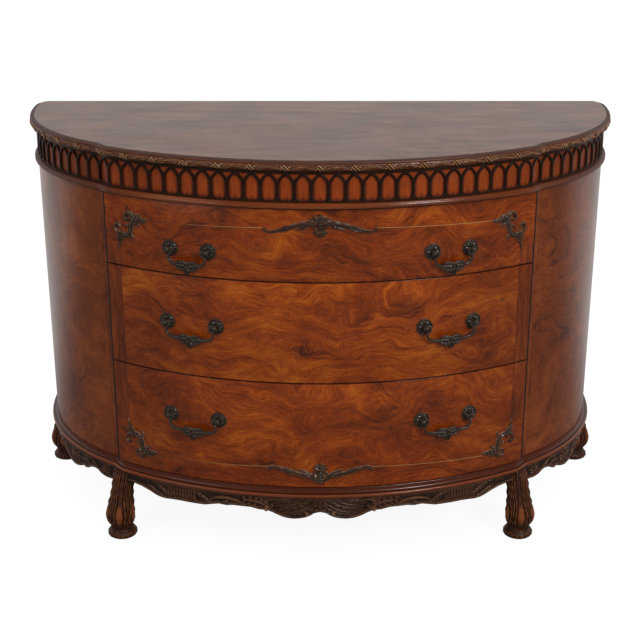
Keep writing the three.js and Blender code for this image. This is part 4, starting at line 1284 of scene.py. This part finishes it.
# Carved corner scrolls of the top and the bottom drawer
cornerScroll = {
    "lift": 0.5 * mm,
    "style": {"lift": -0.3},
    # The leaf, the stem and its crest
    "strokes": (
        (((402, 771), (394, 769.5), (386, 769), (378, 768.5), (370, 768), (361, 768.5)),
         (8, 10.4, 9.4, 7, 4.8, 2), (5, 6.4, 6, 5, 3.8, 1.8), {"lobes": 5, "across": 13}),
        (((399, 776), (396, 768), (398.5, 758), (400, 749), (403, 740), (410, 733), (422, 730), (433, 733),
          (439, 741), (440, 749), (435.5, 754), (430.5, 751), (431, 745.5)),
         (5, 6.4, 6, 5.6, 5.8, 6.2, 6.2, 5.4, 4.3, 3.4, 3, 2.8, 2.6),
         (5, 5.6, 5.6, 5.6, 6, 6.2, 6, 5.8, 5.6, 5.4, 5.4, 5.2, 5), {"flutes": 2, "across": 15}),
        (((393, 773), (399, 779), (407, 781), (414, 776.5), (414.5, 769), (409.5, 765.5), (406, 769)),
         (3.4, 5, 4.6, 3.8, 3.3, 3, 2.6), (5.4, 6, 6.2, 6, 5.6, 5.2), {"crown": 0.7}),
    ),
    # Small leaves off the stem and inside the scroll
    "leaves": (
        (((398, 762), (391, 761), (385, 758), (380, 753)), (3.6, 4.8, 3.8, 1)),
        (((396, 775), (388, 777.5), (380, 776.5), (374, 773)), (2.8, 3.8, 3, 1)),
        (((401, 752), (407, 753), (413, 751), (418, 746)), (2.6, 3.4, 2.6, 0.8)),
        (((404, 737), (399, 731), (398, 725), (401, 720)), (3, 3.8, 2.8, 0.8)),
        (((421, 733), (424, 739), (423, 744)), (2.8, 3, 1)),
    ),
    "leafHeights": (4, 4.8, 3.6, 1.4),
    # Bars below, as height, start and end, then drops and a tip
    "bars": ((726, 415, 438), (721.6, 419, 437.4), (717.4, 423, 437)),
    "drops": (((431.5, 711.6), 3.1, 5.1), ((433.4, 705.4), 2.6, 4.6)),
    "tip": (((434.4, 703), (435.4, 699.6), (436.4, 696.2)), (2, 1.6, 0.5), (3.6, 2.6, 1)),
    "lower": 3 * mm,
    "outer": 3 * mm,
    "flip": 996,
}


def cornerParts(shape, place):
    corner, style = cornerScroll, cornerScroll["style"]
    carve(shape, place, corner["strokes"], **style)
    carve(shape, place, [(*leaf, corner["leafHeights"]) for leaf in corner["leaves"]], lobes=3, **style)
    for z, low, high in corner["bars"]:
        bar = [(low, z + 1), ((low + high) / 2, z - 0.8), (high, z + 0.6)]
        stroke(shape, place, bar, [1.6, 1.9, 1.6], [4.4, 5.4, 4.4], **style)
    for drop in corner["drops"]:
        boss(shape, place, *drop, **style)
    stroke(shape, place, *corner["tip"], **style)


def makeCorners():
    corner = cornerScroll
    for hand, side in hands.items():
        for height, flip in (("top", 0), ("bottom", corner["flip"] * mm)):
            shape = Shape()
            place = ontoWall(corner["lift"], side)
            cornerParts(shape, shifted(place, flip, corner["outer"], corner["lower"]))
            shape.make(f"corner_{height}_{hand}", materials["mount"], sharp=50)


makeCartouches()
makeCorners()
print("cartouches and corner scrolls made")

# Six cast bail handles: their heights, and how far apart the posts of each pair stand
handles = {
    "drawer_top": (715 * mm, 85 * mm),
    "drawer_middle": (552 * mm, 111 * mm),
    "drawer_bottom": (338 * mm, 111 * mm),
}
handle = {
    "fromSeam": 185 * mm,
    "ground": 0.5 * mm,       # between the front and a rosette
    "rosetteRadius": 18,
    "scallops": 14,
    "petals": 8,
    "postReach": 13,          # from the rosette's back to the middle of its knob
    "knobRadius": 6.5,
    "neck": 4.4,
    "armRadius": 3.2,
    "armGap": 0.8,
    "pinRadius": 1.8,
    "pinDepth": 4,
    "drop": 27,
    # Rows of a rosette: its radius and height, and how much the scallops and the petals shape each
    "rows": (
        (1, 0, 0.045, 0, 0), (1, 1.3, 0.045, 0, 0), (0.985, 2.2, 0.05, 0, 0), (0.945, 3.0, 0.04, 0.5, 0),
        (0.9, 3.3, 0.02, 0.8, 0), (0.85, 2.9, 0, 0.6, 0), (0.81, 1.9, 0, 0.1, 0), (0.785, 1.6, 0, 0, 0.1),
        (0.765, 2.2, 0, 0, 0.6), (0.72, 3.4, 0, 0, 1.2), (0.64, 4.4, 0, 0, 1.7), (0.54, 4.9, 0, 0, 1.9),
        (0.44, 4.7, 0, 0, 1.5), (0.36, 4.0, 0, 0, 0.8), (0.31, 3.4, 0, 0, 0),
    ),
    "neckRows": ((1.1, 4.2), (0.95, 5.2)),
}
handleAngle = math.asin((plan["seamHalfWidth"] - handle["fromSeam"]) / bowRadius)


def bowFrame(angle, out, z):
    reach = bowRadius + out
    place = Matrix.Translation((reach * math.sin(angle), bowCentreY - reach * math.cos(angle), z))
    return place @ Matrix.Rotation(angle, 4, "Z")


# Half the distance between the knobs, and how far out of the bow their hinge line lies
def hingeLine(spacing):
    half = math.asin(spacing / 2 / bowRadius)
    reach = bowRadius + handle["ground"] + handle["postReach"] * mm
    return reach * math.sin(half), reach * math.cos(half) - bowRadius


def makeRosette(node, angle, z):
    shape = Shape()
    radius, knob, reach, neck = (handle[key] for key in ("rosetteRadius", "knobRadius", "postReach", "neck"))
    turn = np.linspace(0, tau, 112, endpoint=False)[None, :]
    scallop = np.abs(np.cos(handle["scallops"] * turn / 2)) ** 0.8
    petal = np.abs(np.cos(handle["petals"] * turn / 2)) ** 0.7
    vein = np.abs(np.cos(handle["petals"] * turn))
    rings = []
    for share, up, notch, bead, leaf in handle["rows"]:
        rho = radius * (share - notch * (1 - scallop))
        if leaf:
            rho = rho - radius * 0.05 * (1 - petal) * (leaf / 1.9)
        lift = up - bead * 1.3 * (1 - scallop) - leaf * (1 - petal) + 0.3 * leaf * (vein - 1) * petal
        rings.append((rho, np.maximum(lift, 0.4 if up else 0)))
    ones = np.ones_like(turn)
    rings += [(neck * share * ones, up * ones) for share, up in handle["neckRows"]]
    rings += [(neck * 0.95 * ones, (reach - math.sqrt(knob ** 2 - neck ** 2)) * ones)]
    for rise in np.radians(np.linspace(-42, 86, 9)):
        rings.append((knob * math.cos(rise) * ones, reach + knob * math.sin(rise) * ones))
    rho, up = (np.vstack([ring[i] for ring in rings]) for i in (0, 1))
    lay = ontoFrame(bowFrame(angle, handle["ground"], z))
    shape.grid(*lay(rho * np.cos(turn) * mm, rho * np.sin(turn) * mm, up * mm))
    shape.make(node, materials["bronze"], sharp=40)


# The bail's strokes on each side, beside its wire, and in its middle: path, widths, heights and cut, in mm
bail = {
    "leaves": (
        (((3, -26), (10, -24), (18, -25), (26, -29.5)), (3.6, 4.6, 4, 1)),
        (((2, -36), (10, -39), (18, -37.5), (27, -32)), (3.6, 5, 4, 0.8)),
        (((1, -34), (5, -40), (5.5, -45), (2.5, -51)), (3, 3.4, 2.2, 0.6)),
    ),
    "leafHeights": (4.6, 5.4, 4.4, 1.6),
    "curl": (((27, -30.5), (22.5, -25.5), (18, -22.4), (14.6, -24), (15.4, -27.4)), (1.6, 2.3, 2.2, 2, 1.6),
             (4.2, 5.2, 5.6, 5.2, 4.4)),
    "middle": (((0, -23), (0, -32), (0, -41), (0, -52)), (3, 5.6, 4.2, 0.8), (5.6, 6.4, 5, 1.4)),
    "flower": ((0, -33), 4.2, 5.6),
    # The wire below its knob: shares of the half spacing and of the drop, and of the arm's radius
    "bend": ((0.95, -0.5), (0.92, -0.76), (0.82, -0.98), (0.66, -1.08)),
    "wire": (0.7, 0.95, 0.85, 0.9, 1, 1.15, 1.2, 1.25),
    "wireEnd": (4.4, 5),
}


# One swinging bail: a wire out of each knob, grown into acanthus leaves that meet at a ball
def makeBail(node, side, z, spacing):
    shape = Shape()
    knobX, out = hingeLine(spacing)
    knobX = knobX / mm
    hinge = bowFrame(side * handleAngle, out, z)
    arm, drop, pinRadius = handle["armRadius"], handle["drop"], handle["pinRadius"]
    clear = handle["knobRadius"] + handle["armGap"] + arm
    around = [math.radians(a) for a in (0, 30, 58)]
    path = [(knobX - clear, arm)]
    path += [(knobX - clear * math.cos(a), -clear * math.sin(a)) for a in around]
    path += [(knobX * x, drop * y) for x, y in bail["bend"]]
    path += [(17, -drop * 1.12), (6, -drop * 1.16)]
    wire = [*(arm * share for share in bail["wire"]), *bail["wireEnd"]]
    pin = np.linspace((knobX - clear, 0), (knobX - handle["knobRadius"] + handle["pinDepth"], 0), 3)
    leaves = [(*leaf, bail["leafHeights"]) for leaf in bail["leaves"]]
    for hand in hands.values():
        place = ontoFrame(hinge, hand)
        stroke(shape, place, path, wire, wire, back=1, across=11)
        carve(shape, place, leaves, lobes=3, back=0.5, across=11)
        stroke(shape, place, *bail["curl"], back=0.5, crown=0.7)
        stroke(shape, place, pin, [pinRadius], [pinRadius], back=1, crown=0.42, steps=2)
    stroke(shape, ontoFrame(hinge), *bail["middle"], lobes=3, back=0.5, across=13)
    boss(shape, ontoFrame(hinge), *bail["flower"], petals=5, notch=0.2, lift=2.2, back=1)
    shape.make(node, materials["bronze"], sharp=45)


for drawer, (z, spacing) in handles.items():
    turn = math.asin(spacing / 2 / bowRadius)
    for hand, side in hands.items():
        for post, way in hands.items():
            makeRosette(f"{drawer}_rosette_{hand}_{post}", side * handleAngle + way * turn, z)
        makeBail(f"{drawer}_bail_{hand}", side, z, spacing)
print("handles made")

# Carved aprons: boards with a lobed hem, as (length along the wall, height) in mm
apron = {
    "face": 1,
    # The board's section from behind its hem to behind its top: shares of the height and lengths out
    "section": ((0, -17), (0, -0.4), (0.04, 1), (0.3, 0.2), (0.7, 0.2), (1, 1), (1, -17)),
    "style": {"lift": -0.5},
    "frontHem": (
        (0, 130), (12, 127.5), (21, 122.5), (30, 118), (44, 113.6), (58, 112.5), (72, 114), (85, 118),
        (99, 124.6), (113, 130.5), (132, 131), (150, 135), (190, 135.5), (205, 133), (222, 134.5),
        (238, 131), (254, 127), (270, 126.4), (290, 126), (315, 126.2), (335, 125), (350, 123.5),
        (364, 124.5), (376, 128), (392, 134.5), (410, 139.5), (430, 142.5), (475, 144),
    ),
    "sideHem": (
        (506, 126), (527, 125), (542, 128), (555, 135), (568, 135.4), (582, 132), (594, 125), (604, 122),
        (609, 125), (618, 121.6), (627, 117.5), (642, 112.6), (657, 110), (680, 112), (705, 120), (735, 131),
        (765, 135), (880, 135),
    ),
    "rim": 2.2,
    "sweeps": (
        ((7, 137), (18, 128), (34, 120.5), (52, 117.5), (70, 119)),
        ((7, 147), (20, 136), (38, 127), (58, 123.5), (80, 127)),
        ((7, 156), (22, 145), (42, 134.5), (64, 130.5), (88, 135)),
        ((12, 162), (28, 152), (48, 142), (70, 138), (94, 143)),
        ((26, 162), (42, 155), (60, 149), (78, 147), (98, 152)),
        ((44, 162), (58, 158.5), (74, 155.5), (92, 156.5), (106, 161)),
    ),
    "sweepStyle": ((1.8, 4.2, 4.6, 3.6, 0.8), (3.4, 5.4, 5.6, 4.6, 1.4)),
    "scroll": (((84, 160), (102, 160), (116, 154), (119, 144), (111, 138), (103, 142), (106, 147)),
               (1.2, 3.2, 3.8, 3.8, 3.2, 2.6, 2.2), (3, 5, 6, 6.4, 6, 5.6, 5.4)),
    "balls": ((28, 127), (116, 134.5)),
    "spine": (((112, 140), (128, 148), (148, 152), (168, 150)), (1.4, 2.6, 2.6, 2.2, 0.8),
              (5, 5.6, 5.4, 4.6, 2)),
    "spineFlutes": 5,
    "arc": (((166, 140), (182, 148), (206, 152), (228, 149), (244, 141)), (1, 2.6, 2.8, 2.6, 1),
            (3, 5.6, 6, 5.6, 3)),
    # Fans: their middle, the ways of their rays, and each ray's length, width and height
    "shell": ((206, 147), (-150, -165, 180, 165, 150), 12, 3, 4),
    "sideShells": (
        ((527, 142), (-150, -110, -70, -30, 10, 50, 95, 140), 16, 3.4, 4),
        ((650, 139), (-150, -118, -86, -54, -20, 16, 50, 84, 118, 152), 24, 4.6, 4.4),
    ),
    "sideBosses": ((4, 5.2), (4.8, 5.6)),     # radius and height in the middle of each
    "leaves": (
        ((240, 134), (252, 140), (266, 149), (282, 156)), ((338, 130), (348, 138), (362, 148), (378, 156)),
    ),
    "leafForm": ((1.4, 5, 5.4, 1), (3, 5, 4.6, 1.2), {"lobes": 5, "across": 13}),
    "reeds": (278, 340, 10),      # from, to and how many
    "reedTop": 157,
    # Leaves beside the knee of the foot
    "kneeLeaves": (
        (((356, 130), (370, 134), (384, 142), (398, 149)), (1.4, 4.2, 3.8, 0.8)),
        (((376, 158), (392, 160.5), (410, 158), (426, 153)), (1.2, 3.6, 3.6, 0.8)),
    ),
    "middle": (((0, 132), (0, 141), (0, 151), (0, 161)), (3, 4.8, 3.6, 0.7), (4, 5, 4, 1.2)),
    "sideLeaves": (
        ((556, 140), (570, 149), (588, 154), (606, 152)), ((584, 137), (597, 142), (610, 141), (622, 134)),
        ((690, 128), (706, 140), (726, 149), (750, 152)), ((716, 134), (736, 141), (758, 143), (778, 140)),
    ),
    "sideLeafWidths": (1.2, 4.4, 4.2, 0.8),
    "leafHeights": (3, 4.2, 3.8, 1.2),
}
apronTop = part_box("apron_front")[1].z


def hemAt(hem, s):
    return np.interp(s, *np.array(hem).T)


def apronBoard(shape, low, high, side, hem):
    lengths, heights = np.array(hem).T
    s = np.linspace(low, high, round((high - low) / 3)) * mm
    bottom = np.interp(s, lengths * mm, heights * mm)[:, None]
    share, out = np.array(apron["section"]).T
    shape.wrap(side * s[:, None], out * mm, bottom + (apronTop - bottom) * share)


# The rolled rim along the hem
def hemRim(shape, place, hem, low, high, count):
    s = np.linspace(low, high, count)
    path = together(s, hemAt(hem, s) + apron["rim"])
    stroke(shape, place, path, [apron["rim"]], [2.4], steps=2, **apron["style"])


def fan(shape, place, centre, turns, reach, wide, high):
    widths = [wide * 0.5, wide, wide * 0.95, wide * 0.3]
    heights = [high * 0.8, high, high * 0.8, 0.8]
    for turn in turns:
        away = ray(turn)
        side = np.array([away[1], -away[0]]) * (0.14 if turn > 0 else -0.14)
        path = [centre + (away * share + side * share ** 2) * reach for share in (0.15, 0.45, 0.75, 1)]
        stroke(shape, place, path, widths, heights, flutes=1, **apron["style"])


# A short leaf along the hem: flutes hang from its spine to near the hem, and shorter ones rise from it
def feather(shape, place, hem):
    spine, style = apron["spine"], apron["style"]
    line = smoothPath(np.array(spine[0], float), 12)
    stroke(shape, place, *spine, **style)
    for share in np.linspace(0.04, 0.94, apron["spineFlutes"]):
        s, z = line[int(share * (len(line) - 1))]
        low = float(hemAt(hem, s + 11)) + 4.6
        for end, belly in (((s + 11, low), -2.5), ((s + 9, min(z + 15, apronTop / mm - 4)), 2)):
            middle = ((s * 0.62 + end[0] * 0.38) - 0.6, (z + end[1]) / 2 + belly * 0.4)
            stroke(shape, place, [(s, z), middle, end], [2, 3.1, 1.2], [3.6, 4.4, 1.6], **style)


def makeFrontApron():
    shape = Shape()
    face = apron["face"] * mm
    style = apron["style"]
    end = seamLength / mm + 2
    hem = apron["frontHem"]
    apronBoard(shape, -end, end, 1, [(-s, z) for s, z in hem[:0:-1]] + list(hem))
    for side in hands.values():
        place = ontoWall(face, side)
        hemRim(shape, place, hem, 0, end - 4, 150)
        # The lobe beside the middle: leaves that sweep out from it to a scroll, and balls over the hem
        for number, path in enumerate(apron["sweeps"]):
            leafy = {"lobes": 6} if number % 2 else {"flutes": 1}
            stroke(shape, place, path, *apron["sweepStyle"], across=15, **leafy, **style)
        stroke(shape, place, *apron["scroll"], flutes=1, across=11, **style)
        for ball in apron["balls"]:
            boss(shape, place, ball, 5.2, 10, **style)
        # Then a short leaf, an arc with a shell under it, and reeds between two leaves
        feather(shape, place, hem)
        stroke(shape, place, *apron["arc"], **style)
        fan(shape, place, *apron["shell"])
        carve(shape, place, [(path, *apron["leafForm"]) for path in apron["leaves"]], **style)
        tall = apron["reedTop"]
        for s in np.linspace(*apron["reeds"]):
            low = float(hemAt(hem, s)) + 3.4
            reed = [(s, low), (s + 1.6, (low + tall) / 2), (s + 1, tall)]
            stroke(shape, place, reed, [2.2, 3, 2], [3, 4.6, 2.4], **style)
        knee = [(*leaf, apron["leafHeights"]) for leaf in apron["kneeLeaves"]]
        carve(shape, place, knee, lobes=4, across=11, **style)
    stroke(shape, ontoWall(face), *apron["middle"], lobes=3, across=11, **style)
    shape.make("apron_front", materials["apron"], sharp=50)


def makeSideApron(node, side):
    shape = Shape()
    style = apron["style"]
    start, end = seamLength / mm + 3, halfLength / mm - 40
    hem = apron["sideHem"]
    apronBoard(shape, start, end, side, [(start, 143), (497, 141), *hem])
    place = ontoWall(apron["face"] * mm, side)
    hemRim(shape, place, hem, hem[0][0], end - 3, 130)
    for shell, size in zip(apron["sideShells"], apron["sideBosses"]):
        fan(shape, place, *shell)
        boss(shape, place, shell[0], *size, **style)
    leaves = [(path, apron["sideLeafWidths"], apron["leafHeights"]) for path in apron["sideLeaves"]]
    carve(shape, place, leaves, lobes=4, across=11, **style)
    shape.make(node, materials["apron"], sharp=50)


makeFrontApron()
makeSideApron("apron_left", -1)
makeSideApron("apron_right", 1)
print("aprons carved")

# Vase-shaped feet, turned and then carved: shares of the height, of the radius and of the lean outwards
foot = {
    "radius": 34.5 * mm,
    "lean": 6 * mm,
    "topShift": 5 * mm,       # how far the top stands inwards
    "backInset": 6 * mm,
    "backFromBack": 40 * mm,
    "profile": (
        (0, 0.96, 0.5), (0.012, 1.06, 0.5), (0.03, 1.11, 0.5), (0.055, 1.11, 0.5), (0.078, 1.03, 0.5),
        (0.09, 0.93, 0.5), (0.105, 0.84, 0.55), (0.13, 0.8, 0.6), (0.16, 0.82, 0.8), (0.24, 0.94, 1),
        (0.33, 0.98, 1), (0.44, 0.94, 0.8), (0.56, 0.84, 0.4), (0.68, 0.78, 0.1), (0.8, 0.76, -0.3),
        (0.9, 0.74, -0.9), (0.97, 0.7, -1.4), (1, 0.64, -1.6),
    ),
    "leaves": 5,
    # Relief in mm: the worn almond, the ridges round it, the swell of a leaf, and how deep all that is sunk
    "relief": (3.4, 4.4, 1.9, 1.9),
    "flare": (54, 24),        # the height where a leaf is widest, and over what height it narrows
    "lens": (7.4, 2.6),       # half an almond's width, and what the flare adds
    "wear": (66, 26),
    "beads": 18,
    "beadDepth": 2.2,
}


def makeFoot(node, x, y, lean):
    shape = Shape()
    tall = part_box(node)[1].z
    heights, radii, leans = np.array(foot["profile"]).T
    share = np.unique(np.concatenate([np.linspace(0, 0.14, 22), np.linspace(0.14, 1, 92)]))[:, None]
    turn = np.linspace(0, tau, 144, endpoint=False)[None, :]
    front = -math.pi / 2      # the way the main leaf faces
    radius = np.interp(share, heights, radii) * foot["radius"]
    around = (turn - front) / tau * foot["leaves"]
    beside = np.abs(around - np.round(around)) * 2      # 0 along a leaf's midrib and 1 between two leaves
    # Leaves with a worn almond in the middle, and ridges that part round it and close again above and below
    rise = np.clip((share - 0.15) / 0.85, 0, 1)
    x0 = beside * math.pi * foot["radius"] / foot["leaves"] / mm
    z0 = share * tall / mm
    almondLift, ridgeLift, swell, sunk = foot["relief"]
    flare = np.exp(-((z0 - foot["flare"][0]) / foot["flare"][1]) ** 2)
    lens = foot["lens"][0] + foot["lens"][1] * flare
    sway = np.sign(around - np.round(around)) * 2.4 * np.sin(z0 / 15) * smoothStep(beside, 0.05, 0.5)
    ring = (x0 + sway) / lens
    almond = np.sqrt(np.maximum(1 - (x0 / (lens * 0.95)) ** 2, 0)) * (0.6 + 0.9 * flare)
    ridges = np.abs(np.sin(math.pi * np.clip(ring - 0.05, 0, 9))) ** 0.7 * smoothStep(x0 / lens, 0.9, 1.15)
    serrate = 0.8 + 0.2 * np.sin(z0 / 3.4 + 3 * beside)
    leaf = swell * (1 - beside ** 2) * (0.4 + 0.6 * flare)
    relief = (almondLift * almond + ridgeLift * ridges * serrate + leaf - sunk) * smoothStep(rise, 0, 0.06)
    # Beads round the pad
    pad = np.exp(-((share - 0.043) / 0.026) ** 2)
    beads = np.abs(np.cos(turn * foot["beads"] / 2)) ** 0.6
    reach = radius * 0.88 + relief * mm - pad * (1 - beads) * foot["beadDepth"] * mm
    off = np.interp(share, heights, leans) * foot["lean"]
    inward = foot["topShift"] * smoothStep(share, 0.35, 0.95) * np.sign(x)
    acrossX = x + lean[0] * off - inward + reach * np.cos(turn)
    points = together(acrossX, y + lean[1] * off + reach * np.sin(turn), share * tall)
    worn = almond * np.exp(-((z0 - foot["wear"][0]) / foot["wear"][1]) ** 2) * smoothStep(beside, 1, 0.6)
    shape.grid(points, together(worn, share * tall, reach))
    shape.make(node, materials["foot"], sharp=50)


for hand, side in hands.items():
    lean = (side * math.sin(seamAngle), -math.cos(seamAngle))
    middle = sum(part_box(f"foot_front_{hand}"), Vector()) / 2
    half = foot["lean"] / 2
    makeFoot(f"foot_front_{hand}", middle.x - lean[0] * half, middle.y - lean[1] * half, lean)
    backX = plan["caseHalfWidth"] - foot["backInset"]
    makeFoot(f"foot_back_{hand}", side * backX, backY - foot["backFromBack"], (side, 0))
print("feet carved")

# Boards inside, which keep the frame's own shapes
boards = {
    **dict.fromkeys(("case_floor", "dust_panel_upper", "dust_panel_lower"), ("dark", 0)),
    "back_panel": ("dark", 2),
}
for drawer in handles:
    boards |= {f"{drawer}_side_left": ("pale", 1), f"{drawer}_side_right": ("pale", 1)}
    boards |= {f"{drawer}_back": ("pale", 0), f"{drawer}_bottom": ("pale", 0)}
timbers = {}
for node in ("partition_left", "partition_right"):
    for slot in bpy.data.objects[node].material_slots:
        slot.material = materials["partition"]
for node, (tone, axis) in boards.items():
    if (tone, axis) not in timbers:
        timbers[tone, axis] = boardMaterial(f"{tone}_timber_{'xyz'[axis]}", axis, timber[tone])
    for slot in bpy.data.objects[node].material_slots:
        slot.material = timbers[tone, axis]
print("boards finished:", len(boards))
